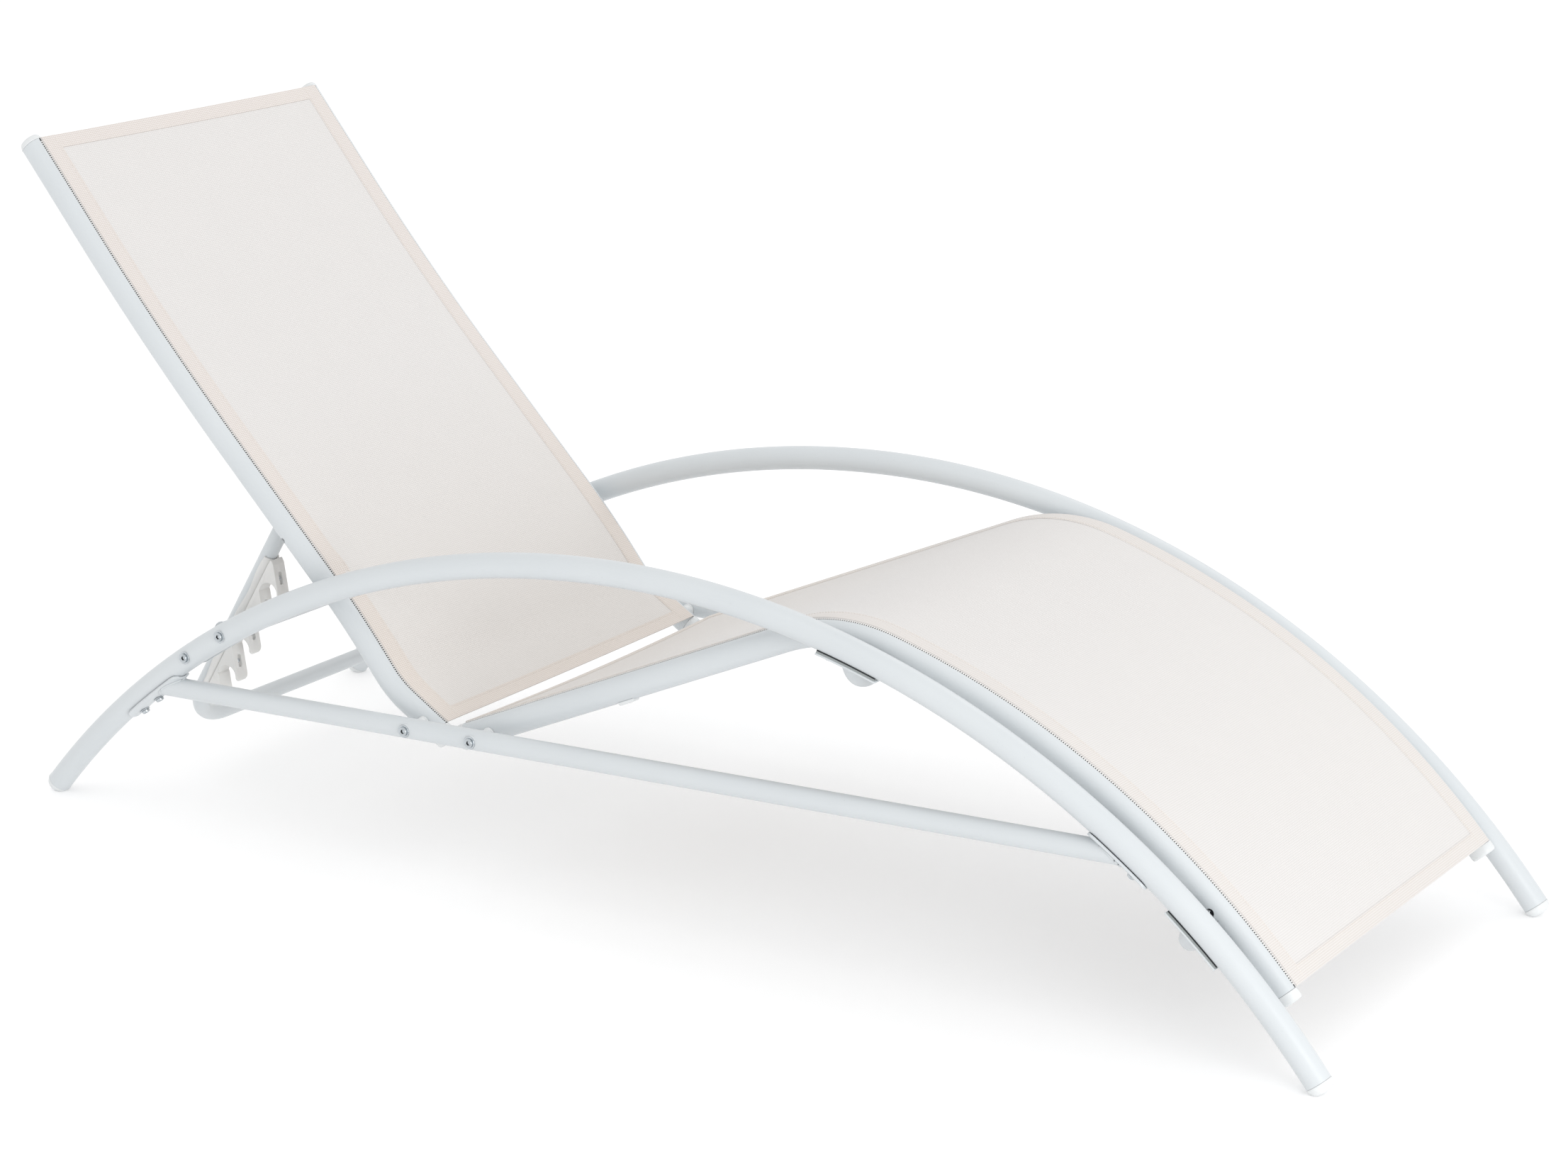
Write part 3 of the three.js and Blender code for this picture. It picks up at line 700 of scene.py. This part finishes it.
def build_pivots(label, side):
    outward = Vector((0, side, 0))
    for name, x in (("back", BACK_PIVOT_X), ("seat", SEAT_BOLT_X)):
        place = LOWER.frame(LOWER.distance_at(x))[0]
        face = place + outward * (ARCH_Y + LOWER_R)
        socket_bolt(f"pivot_bolt_{name}_{label}", face, outward, "frame", [f"{name}_bolt_{label}"])
        seat = turned(face - outward * 2.4, outward,
                      [(0, 0), (8.4, 0), (8.4, 1.6), (8.1, 2.3), (0, 2.3)])
        finish_piece(mesh(f"pivot_flat_{name}_{label}", *seat), "frame", PAINT)
        inner = Vector((place.x, side * (RAIL_Y + RAIL_HALF_WIDTH + 0.3), place.z))
        gap = ARCH_Y - LOWER_R - RAIL_Y - RAIL_HALF_WIDTH - 0.6
        spacer = turned(inner, outward, [(0, 0), (8, 0), (8, 1.2), (6.8, 2.2), (6.8, gap - 2.2),
                                         (8, gap - 1.2), (8, gap), (0, gap)])
        finish_piece(mesh(f"spacer_{name}_{label}", *spacer), "frame", PLASTIC,
                     [f"{name}_spacer_{label}"], bevel=0.3)


def build_latch(label, side):
    outward = Vector((0, side, 0))
    places = [ARCH.frame(ARCH.distance_at(x))[0] for x in LATCH_BOLT_X]
    for k, p in enumerate(places):
        face = Vector((p.x, side * (ARCH_Y + ARCH_R - 0.1), p.z))
        socket_bolt(f"latch_bolt_{k}_{label}", face, outward, "frame", [f"latch_bolt_{k + 1}_{label}"])
        nut = Vector((p.x, side * (ARCH_Y - ARCH_R - PLATE_T - 0.4), p.z))
        hex_nut(f"latch_nut_{k}_{label}", nut, -outward, "frame")
    a, b = places
    run = (b - a).normalized()
    lift = Vector((-run.z, 0, run.x))
    outline = []
    for centre, first in ((a, math.pi / 2), (b, -math.pi / 2)):
        for k in range(19):
            t = first + math.pi * k / 18
            outline.append(centre + run * (LATCH_PLATE_R * math.cos(t))
                           + lift * (LATCH_PLATE_R * math.sin(t)))
    rings = [[Vector((p.x, side * y, p.z)) for p in outline]
             for y in (ARCH_Y - ARCH_R - 0.3, ARCH_Y - ARCH_R - 0.3 - PLATE_T)]
    finish_piece(mesh(f"latch_plate_body_{label}", *loft(rings)), "frame", PAINT,
                 [f"latch_plate_{label}"], bevel=0.8)
    centre = Vector((LATCH[0], side * (ARCH_Y - ARCH_R - PLATE_T - 1.4), LATCH[1]))
    bead = [centre + Vector((p[0], 0, p[1])) for p in circle(LATCH_R + 0.4, 48)]
    weld(f"weld_latch_{label}", bead, "frame", 0.9)


def build_latch_tube():
    half = ARCH_Y - ARCH_R - PLATE_T - 0.6
    rings = [ring(Vector((LATCH[0], y, LATCH[1])), Vector((1, 0, 0)), Vector((0, 0, 1)),
                  circle(LATCH_R, 44))
             for y in [-half + 2 * half * i / 30 for i in range(31)]]
    finish_piece(mesh("latch_bar", *loft(rings)), "frame", PAINT, ["latch_tube"])


# ---------------------------------------------------------------- rails and slings

def rail_section(side, up):
    """Oval with a groove in its top for the sling's edge; up is +1 or -1 along the left normal."""
    middle = side * (GROOVE_Y - RAIL_Y)
    edges = []
    for edge in (middle + GROOVE_HALF, middle - GROOVE_HALF):
        edges.append(math.acos(max(-1, min(1, edge / RAIL_HALF_WIDTH))))
    first, last = edges
    count = 44
    out = []
    for i in range(count + 1):
        t = last + (2 * math.pi - (last - first)) * i / count
        out.append((RAIL_HALF_WIDTH * math.cos(t), up * RAIL_HALF_DEPTH * math.sin(t)))
    floor = RAIL_HALF_DEPTH - GROOVE_DEPTH
    out.append((middle + GROOVE_HALF, up * floor))
    out.append((middle - GROOVE_HALF, up * floor))
    return out


CAP_PROFILE = {
    "dome": [(1.0, 0.25), (1.025, 0.7), (1.025, 2.0), (1.0, 2.5), (0.985, 3.6), (0.95, 5.2),
             (0.86, 6.8), (0.70, 7.8), (0.45, 8.2), (0.004, 8.3)],
    "plain": [(1.0, 0.25), (1.03, 0.6), (1.03, 6.0), (1.02, 9.0), (0.97, 10.6), (0.88, 11.4),
              (0.70, 11.7), (0.004, 11.8)],
}


def cap_rings(place, across, up, out, profile):
    rings = []
    for r, h in profile:
        section = [(RAIL_HALF_WIDTH * r * a, RAIL_HALF_DEPTH * r * b) for a, b in circle(1, 44)]
        rings.append(ring(place + out * h, across, up, section))
    return rings


def build_rails(name, chain, up, body):
    for label, side in SIDES:
        y = side * RAIL_Y
        rings = swept(chain, chain.stations(step=9), y, rail_section(side, up))
        rail = mesh(f"{name}_tube_{label}", *loft(rings))
        hole_x, radius, lean, bottom = RAIL_HOLES[name]
        place, across, normal, along = chain.frame(chain.distance_at(hole_x), y)
        tilt = (across * side - normal * up * lean).normalized()
        subtract(rail, *turned(place + tilt * 6, tilt,
                               [(0, 0), (radius, 0), (radius, 20), (0, 20)], 28))
        finish_piece(rail, body, PAINT, [f"{name}_rail_{label}"], sharp=42)
        # A near-black disc down in the hole: painted shade at its bottom.
        plug = turned(place + tilt * bottom, tilt,
                      [(0, 0), (radius - 0.1, 0), (radius - 0.1, 1.2), (0, 1.2)], 28)
        finish_piece(mesh(f"{name}_hole_{label}", *plug), body, SHADE_AND_SEAM)
        for end, d, sign in (("start", 0, -1), ("end", chain.total, 1)):
            place, across, normal, along = chain.frame(d, y)
            profile = CAP_PROFILE["dome" if (name, end) == ("back", "end") else "plain"]
            cap = mesh(f"{name}_plug_{end}_{label}",
                       *loft(cap_rings(place, across, normal, along * sign, profile)))
            finish_piece(cap, body, PLASTIC, [f"{name}_cap_{end}_{label}"])
            seam = cap_rings(place, across, normal, along * sign, [(0.97, -0.3), (0.97, 0.5)])
            finish_piece(mesh(f"{name}_seam_{end}_{label}", *loft(seam)), body, SHADE_AND_SEAM)


def cloth_point(chain, up, d, y, lift, sag):
    """A point on the sling, sagging and rippling between the grooves; the caller's lift turns the edge down
    into a groove.
    """
    place, _, normal, _ = chain.frame(d, y)
    reach = abs(y) / GROOVE_Y
    end = min(d, chain.total - d) / 120
    slack = sag * (0.55 + 0.45 * min(1, end) ** 0.5)
    drop = -slack * (1 - min(1, reach) ** 2)
    ripple = 0.35 * math.sin(d / 61.0 + y / 37.0) * math.sin(math.pi * min(1, reach)) * min(1, end)
    edge = max(0, GROOVE_Y - abs(y))
    near_bend = math.exp(-((d - BEND_AT[chain]) / 60) ** 2)
    ripple += 2.2 * near_bend * math.sin(edge / 13.0) * math.exp(-edge / 45)
    if chain is BACK_SLING and y < 0:
        fold = d - 240 + 0.9 * edge
        ripple += 3.6 * math.sin(fold / 11.0) * math.exp(-(fold / 30) ** 2 - ((edge - 48) / 42) ** 2)
    return place + normal * up * (lift + drop + ripple)


def grid_cloth(name, rows, columns, point, thickness, body, material):
    """A thin closed sheet over a grid of (distance, y) with a cloth UV map in metres."""
    verts, faces = [], []
    for layer in (0, thickness):
        for d in rows:
            for y in columns:
                verts.append(point(d, y, layer))
    w, h = len(columns), len(rows)
    for layer in (0, 1):
        base = layer * w * h
        for i in range(h - 1):
            for j in range(w - 1):
                a = base + i * w + j
                faces.append((a, a + 1, a + w + 1, a + w))
    rim = ([(0, j) for j in range(w)] + [(i, w - 1) for i in range(1, h)]
           + [(h - 1, j) for j in range(w - 2, -1, -1)] + [(i, 0) for i in range(h - 2, 0, -1)])
    index = [i * w + j for i, j in rim]
    for k, a in enumerate(index):
        b = index[(k + 1) % len(index)]
        faces.append((a, b, b + w * h, a + w * h))
    obj = mesh(name, verts, faces)
    layer = obj.data.uv_layers.new(name="cloth")
    flat = [(y * MM, d * MM) for d in rows for y in columns] * 2
    for loop in obj.data.loops:
        layer.data[loop.index].uv = flat[loop.vertex_index]
    return finish_piece(obj, body, material, sharp=60)


def stitches(name, spots, body, material, thick=0.40):
    """A row of short threads; each spot is (middle, direction, outward)."""
    parts = []
    for middle, direction, outward in spots:
        side = direction.cross(outward).normalized()
        rings = []
        for t, r in ((-1.35, 0.3), (-0.9, 0.8), (0, 1), (0.9, 0.8), (1.35, 0.3)):
            rings.append(ring(middle + direction * t + outward * (0.12 - 0.1 * abs(t)), side, outward,
                              circle(r * thick, 6)))
        parts.append(loft(rings))
    return finish_piece(mesh(name, *merge(*parts)), body, material, sharp=80)


def build_edge(name, chain, up, body, label, side):
    """The painted shadow in the groove where the cloth enters it, crossed by the yarns at a steady pitch."""
    half, thick = GROOVE_SHADOW_AND_YARN[name]
    top = SLING_LIFT - RAIL_HALF_DEPTH
    section = strip_section(half, up * -3, up * (0.25 - top))
    rings = swept(chain, chain.stations(0.5, chain.total - 0.5, 9), side * (GROOVE_Y + 0.7), section)
    finish_piece(mesh(f"{name}_groove_shadow_{label}", *loft(rings)), body, SHADE_AND_SEAM, sharp=40)
    spots = []
    for i in range(int(chain.total / EDGE_PITCH) - 1):
        place, across, normal, _ = chain.frame((i + 0.8) * EDGE_PITCH, side * (GROOVE_Y + 0.5))
        spots.append((place + normal * up * (0.25 - top), across, normal * up))
    return stitches(f"{name}_edge_yarns_{label}", spots, body, EDGE, thick)


def edge_columns():
    dive = [GROOVE_Y + 0.15, GROOVE_Y - 0.3, GROOVE_Y - 0.9, GROOVE_Y - 2.2, GROOVE_Y - 6]
    return [-y for y in dive] + list(range(-240, 241, 16)) + dive[::-1]


def build_sling(name, chain, up, sag, body):
    rows = chain.stations(step=9)
    columns = edge_columns()

    def point(d, y, layer):
        dive = max(0, abs(y) - (GROOVE_Y - 0.9))
        return cloth_point(chain, up, d, y, 0.15 + layer - 3.4 * dive ** 1.5, sag)

    def hem(part, hem_rows, hem_columns, lift, thickness):
        return grid_cloth(f"{name}_hem_{part}", hem_rows, hem_columns,
                          lambda d, y, layer: cloth_point(chain, up, d, y, lift + layer, sag),
                          thickness, body, HEM[name])

    cloth = grid_cloth(f"{name}_cloth", rows, columns, point, 0.9, body, CLOTH)
    inner = GROOVE_Y - HEM_SIDE
    for label, side in SIDES:
        ys = [side * y for y in (inner, inner + 0.6, inner + 8, inner + 16, GROOVE_Y - 2, GROOVE_Y - 0.9)]
        hem(label, rows, ys, 1.08, 0.45)
        spots = []
        d = 6.0
        while d < chain.total - 4:
            place = cloth_point(chain, up, d, side * (inner + 2.4), 1.62, sag)
            normal, along = chain.frame(d)[2:]
            spots.append((place, along, normal * up))
            d += STITCH_PITCH
        stitches(f"{name}_stitch_{label}", spots, body, THREAD)
        build_edge(name, chain, up, body, label, side)
    for end, start, stop in (("start", 0.4, HEM_END), ("end", chain.total - HEM_END, chain.total - 0.4)):
        hem_rows = [start + (stop - start) * i / 4 for i in range(5)]
        ys = [y for y in columns if abs(y) < inner + 14] + [inner - 1, -(inner - 1)]
        hem(end, hem_rows, sorted(ys), 1.10, 0.5)
        line = stop - 2.2 if end == "start" else start + 2.2
        normal = chain.frame(line)[2]
        spots = []
        y = -(inner - 2)
        while y < inner - 2:
            spots.append((cloth_point(chain, up, line, y, 1.66, sag), Vector((0, 1, 0)), normal * up))
            y += STITCH_PITCH
        stitches(f"{name}_stitch_{end}", spots, body, THREAD)
    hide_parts(f"{name}_sling")


# ---------------------------------------------------------------- cross tubes, strut, racks

def u_rings(bar, up, half, bend, leg, section):
    """Rings of a U in the plane of Y and up: leg, bend, bar, bend, leg."""
    steps = 12
    first = [(-half, bend + leg * (1 - i / 4), -90) for i in range(5)]
    for angle in range(6, 91, 6):
        t = math.radians(angle)
        first.append((-half + bend * (1 - math.cos(t)), bend * (1 - math.sin(t)), angle - 90))
    middle = [(-half + bend + 2 * (half - bend) * i / steps, 0, 0) for i in range(1, steps)]
    last = [(-y, h, -angle) for y, h, angle in reversed(first)]
    flat = up.cross(Vector((0, 1, 0))).normalized()
    rings = []
    for y, h, angle in first + middle + last:
        c, s = math.cos(math.radians(angle)), math.sin(math.radians(angle))
        place = bar + up * h + Vector((0, y, 0))
        along = Vector((0, c, 0)) + up * s
        rings.append(ring(place, flat, along.cross(flat).normalized(), section))
    return rings


def build_leg_cross(name):
    place, _, normal, _ = SEAT_RAIL.frame(SEAT_RAIL.distance_at(CROSS_X[name]))
    drop = RAIL_HALF_DEPTH + CROSS_DROP[name]
    leg = drop - CROSS_BEND - RAIL_HALF_DEPTH * 0.93
    rings = u_rings(place - normal * drop, normal, RAIL_Y, CROSS_BEND, leg, circle(CROSS_R, 36))
    finish_piece(mesh(f"{name}_cross_bar", *loft(rings)), "frame", PAINT,
                 [f"{name}_cross_tube"])
    for label, side in SIDES:
        def inside_rail(point):
            a = (point.y - side * RAIL_Y) / (RAIL_HALF_WIDTH + 0.2)
            b = (point - place).dot(normal) / (RAIL_HALF_DEPTH + 0.2)
            return 1 - math.hypot(a, b) if abs(a) < 1 else min(1, b + 0.35)

        foot = Vector((place.x, side * RAIL_Y, place.z)) - normal * 28
        bead = loop_on_tube(foot, normal, CROSS_R + 0.2, inside_rail)
        weld(f"weld_{name}_{label}", bead, "frame")
        build_saddle(name, label, side)


def build_saddle(name, label, side):
    """The flat strip under a side tube, two layers of painted shade between them (a grey band and a
    near-black line) and its two bolts.
    """
    middle = ARCH.distance_at(SADDLE_X[name])
    start = middle - SADDLE_LENGTH / 2
    top = -ARCH_R - 0.3
    plate = swept(ARCH, [start + SADDLE_LENGTH * i / 16 for i in range(17)],
                  side * (ARCH_Y + ARCH_R * 0.75 - SADDLE_WIDTH / 2),
                  strip_section(SADDLE_WIDTH / 2, top, top - PLATE_T + 0.6))
    finish_piece(mesh(f"{name}_saddle_body_{label}", *loft(plate)), "frame", PAINT,
                 [f"{name}_saddle_{label}"], bevel=0.6)
    # Painted shade under the tube: a grey band on the strip, with a near-black line above it.
    for part, material, half, low, high in (("shade_band", SADDLE_SHADE, 10.2, -0.25, 1.9), ("gap", SHADE_AND_SEAM, 9.6, 1.9, 2.8)):
        strip = swept(ARCH, ARCH.stations(start + 1, middle + SADDLE_LENGTH / 2 - 1), side * ARCH_Y,
                      strip_section(half, low - ARCH_R, high - ARCH_R))
        finish_piece(mesh(f"{name}_saddle_{part}_{label}", *loft(strip)), "frame", material)
    for k, shift in enumerate(SADDLE_BOLTS):
        spot, _, up, _ = ARCH.frame(middle + shift, side * ARCH_Y)
        socket_bolt(f"{name}_saddle_bolt_{k}_{label}", spot - up * (ARCH_R + PLATE_T - 0.3), -up, "frame",
                    washer=5.6, head=4.4, height=2.4)


def build_back_cross(name):
    place = BACK_RAIL.frame(BACK_CROSS_AT[name])[0]
    half = RAIL_Y - RAIL_HALF_WIDTH - 0.3
    rings = [ring(place + Vector((0, -half + 2 * half * i / 24, 0)), Vector((1, 0, 0)),
                  Vector((0, 0, 1)), circle(BACK_CROSS_R, 40)) for i in range(25)]
    finish_piece(mesh(f"back_bar_{name}", *loft(rings)), "backrest", PAINT,
                 [f"back_cross_{name}"])
    for label, side in SIDES:
        centre = place + Vector((0, side * (half - 0.6), 0))
        bead = [centre + Vector((a, 0, b)) for a, b in circle(BACK_CROSS_R + 0.3, 40)]
        weld(f"weld_back_{name}_{label}", bead, "backrest", 1.5)


def build_strut():
    leg = STRUT_TOP + STRUT_END - STRUT_BOTTOM - STRUT_BEND
    rings = u_rings(strut_point(STRUT_BOTTOM, 0), STRUT_UP, STRUT_LEG_Y, STRUT_BEND, leg,
                    circle(STRUT_R, 36))
    finish_piece(mesh("strut_tube", *loft(rings)), "strut", PAINT, ["strut"], bevel=1.2)


def rack_outline(short):
    """(ahead, up) points of the rack's side; its hooks end short by that much along their face."""
    points, radii = [], []
    run = HOOK_SLOPE * short

    def add(n, s, r=0):
        points.append((n, s))
        radii.append(r)

    add(STRUT_R + 0.3, NOTCH_PITCH + 40, 2)
    for step in NOTCHES:
        s = step * NOTCH_PITCH
        add(17, s + RACK_SCREW_UP, 3)
        add(44 - run.x, s + 4.4 - run.y, 2.6)
        add(43.2 - run.x, s + 1.6 - run.y, 1.6)
        for k in range(17):
            t = math.radians(30 + 150 * k / 16)
            add(NOTCH_OFFSET + NOTCH_R * math.cos(t), s + NOTCH_R * math.sin(t), 1.0 if k == 0 else 0)
        add(NOTCH_OFFSET - NOTCH_R, s - 7, 2)
    last = NOTCHES[-1] * NOTCH_PITCH
    add(17, last - 8, 2)
    add(34, last - 28, 4)
    add(30, last - 36, 4)
    add(STRUT_R + 0.3, last - 44, 2)
    return rounded(points, radii)


def build_rack(label, side):
    middle = side * STRUT_LEG_Y
    rings = []
    for w in [-w for w in reversed(RACK_SLICES)] + [0] + list(RACK_SLICES):
        t = max(0, abs(w) - (RACK_HALF_WIDTH - RACK_CORNER)) / RACK_CORNER
        short = RACK_CORNER * (1 - math.sqrt(1 - t * t))
        rings.append([strut_point(s, n, middle + w) for n, s in rack_outline(short)])
    body = mesh(f"rack_body_{label}", *loft(rings))
    bm = bmesh.new()
    bm.from_mesh(body.data)
    bmesh.ops.triangulate(bm, faces=[f for f in bm.faces if len(f.verts) > 4])
    bm.to_mesh(body.data)
    bm.free()
    for step in NOTCHES:
        build_rack_screw(body, step, label, middle)
    finish_piece(body, "strut", RACK, [f"rack_{label}"], sharp=38, bevel=0.9)
    build_rack_wrap(label, middle)


def build_rack_screw(body, step, label, middle):
    """Cuts an oval pocket into a tooth's outer face and puts a screw in it."""
    out = Vector((-HOOK_SLOPE.y, HOOK_SLOPE.x))
    spot = Vector((17, step * NOTCH_PITCH + RACK_SCREW_UP)) + HOOK_SLOPE * 18
    oval = rounded(strip_section(8, -3.2, 3.2), 3.1, 5)
    levels = []
    for depth in (-3.5, 6.0):
        centre = spot + out * depth
        levels.append([strut_point(centre.y + HOOK_SLOPE.y * a, centre.x + HOOK_SLOPE.x * a, middle + b)
                       for a, b in oval])
    subtract(body, *loft(levels))
    head = strut_point(spot.y - out.y * 3.4, spot.x - out.x * 3.4, middle)
    outward = STRUT_UP * out.y + STRUT_AHEAD * out.x
    profile = [(0, 0), (2.7, 0), (2.7, 1.0), (2.1, 1.7), (1.0, 1.8), (0.9, 1.2), (0, 1.2)]
    screw = turned(head, outward, profile, 24)
    finish_piece(mesh(f"rack_screw_{step % 4}_{label}", *screw), "strut", STEEL)


def build_rack_wrap(label, middle):
    """The thin plastic back of a rack that wraps round the strut's leg."""
    wrap = []
    for i in range(61):
        s = NOTCH_PITCH + 38 - (NOTCH_PITCH * 3 + 80) * i / 60
        spread = 80 + 5 * math.sin(i * 0.31)
        arc = [math.radians(-spread + 2 * spread * k / 14) for k in range(15)]
        section = [(12.4 * math.cos(t), 12.4 * math.sin(t)) for t in arc]
        section += [(STRUT_R + 0.25) * Vector((math.cos(t), math.sin(t))) for t in reversed(arc)]
        wrap.append([strut_point(s, n, middle + w) for n, w in section])
    finish_piece(mesh(f"rack_wrap_{label}", *loft(wrap)), "strut", RACK, bevel=0.5)


def build_strut_hinge(label, side):
    hinge = strut_point(STRUT_TOP, 0)
    near = BACK_RAIL.frame(BACK_RAIL.distance_at(hinge.x))[0]
    root = near + Vector((4, 0, -4))
    run = (root - hinge).normalized()
    lift = Vector((-run.z, 0, run.x))
    outline = [hinge + run * (LUG_R * math.cos(t)) + lift * (LUG_R * math.sin(t))
               for t in [math.pi / 2 + math.pi * k / 16 for k in range(17)]]
    reach = (root - hinge).length
    outline += [hinge + run * reach - lift * LUG_R, hinge + run * reach + lift * LUG_R]
    outer = RAIL_Y - RAIL_HALF_WIDTH - 0.3
    rings = [[Vector((p.x, side * y, p.z)) for p in outline] for y in (outer, outer - 4)]
    finish_piece(mesh(f"hinge_lug_{label}", *loft(rings)), "backrest", PAINT,
                 [f"strut_lug_{label}"], bevel=0.9)
    outward = Vector((0, side, 0))
    inner = Vector((hinge.x, side * (STRUT_LEG_Y + STRUT_R + 0.3), hinge.z))
    gap = outer - 4 - STRUT_LEG_Y - STRUT_R - 0.6
    bush = turned(inner, outward, [(0, 0), (8, 0), (8, 2), (6.6, 3.2), (6.6, gap - 3.2), (8, gap - 2),
                                   (8, gap), (0, gap)])
    finish_piece(mesh(f"hinge_bush_{label}", *bush), "backrest", PLASTIC,
                 [f"strut_bush_{label}"], bevel=0.3)
    inside = Vector((hinge.x, side * (STRUT_LEG_Y - STRUT_R - 0.2), hinge.z))
    socket_bolt(f"hinge_bolt_{label}", inside, -outward, "backrest", [f"strut_pin_{label}"])


def build_seat_tab(label, side):
    """The flat plug under a seat rail that stops its groove cord from sliding."""
    middle = SEAT_RAIL.distance_at(-8)
    rings = []
    for d, thick in ((-11, 0.4), (-10.4, 1.6), (-9, 2.4), (8, 2.4), (10, 2.0), (11, 0.6)):
        section = rounded(strip_section(6, -RAIL_HALF_DEPTH + 1.5, -RAIL_HALF_DEPTH - thick), 0.8, 3)
        rings.append(ring(*SEAT_RAIL.frame(middle + d, side * RAIL_Y)[:3], section))
    finish_piece(mesh(f"groove_plug_{label}", *loft(rings)), "frame", PLASTIC)


# ---------------------------------------------------------------- setting

def build_camera():
    yaw, pitch = math.radians(32.654), math.radians(16.181)
    place = Vector((2212.7 + SHIFT, -3391.6, 1494.2)) * MM
    level = math.cos(pitch)
    look = Vector((-math.sin(yaw) * level, math.cos(yaw) * level, -math.sin(pitch)))
    data = bpy.data.cameras.new("camera")
    data.sensor_width = 36
    data.lens = 83.59
    camera = bpy.data.objects.new("camera", data)
    bpy.context.scene.collection.objects.link(camera)
    right = look.cross(Vector((0, 0, 1))).normalized()
    up = right.cross(look)
    turn = Matrix((right, up, -look)).transposed()
    camera.matrix_world = Matrix.Translation(place) @ turn.to_4x4()
    bpy.context.scene.camera = camera


def build_light(name, place, size, power, target=(0, 0, 0.4)):
    data = bpy.data.lights.new(name, "AREA")
    data.size = size
    data.energy = power
    light = bpy.data.objects.new(name, data)
    light.location = place
    light.rotation_euler = (Vector(target) - Vector(place)).to_track_quat("-Z", "Y").to_euler()
    bpy.context.scene.collection.objects.link(light)


def build_setting():
    scene = bpy.context.scene
    scene.view_settings.view_transform = "Standard"
    world = bpy.data.worlds.new("studio")
    world.use_nodes = True
    background = world.node_tree.nodes["Background"]
    background.inputs["Color"].default_value = (1.0, 1.0, 1.0, 1)
    background.inputs["Strength"].default_value = 1.0
    scene.world = world
    size = 30000
    corners = [(-size, -size, 0), (size, -size, 0), (size, size, 0), (-size, size, 0)]
    floor = mesh("floor", corners, [(0, 1, 2, 3)])
    m = Nodes("floor_paper", (0.80, 0.80, 0.80), 0.9, Emission_Strength=0.24)
    m.shader.inputs["Emission Color"].default_value = (1, 1, 1, 1)
    m.color(m.blend(m.noise(0.8, 2.0), (0.79, 0.79, 0.795), (0.81, 0.81, 0.81)))
    floor.data.materials.append(m.material)
    build_light("key", (-1.0, -2.4, 4.0), 2.4, 7)
    build_light("fill", (3.4, -1.6, 0.9), 2.0, 42, (0.6, 0, 0.2))
    build_light("rim", (0.2, 3.0, 3.2), 2.6, 14)


build_camera()
for side_label, side_sign in SIDES:
    build_arch(side_label, side_sign)
    build_lower_rail(side_label, side_sign)
    build_pivots(side_label, side_sign)
    build_latch(side_label, side_sign)
    build_rack(side_label, side_sign)
    build_strut_hinge(side_label, side_sign)
    build_seat_tab(side_label, side_sign)
build_latch_tube()
build_rails("back", BACK_RAIL, -1, "backrest")
build_rails("seat", SEAT_RAIL, 1, "frame")
build_sling("back", BACK_SLING, -1, BACK_SAG, "backrest")
build_sling("seat", SEAT_SLING, 1, SEAT_SAG, "frame")
for cross_name in CROSS_X:
    build_leg_cross(cross_name)
for cross_name in BACK_CROSS_AT:
    build_back_cross(cross_name)
build_strut()
build_setting()
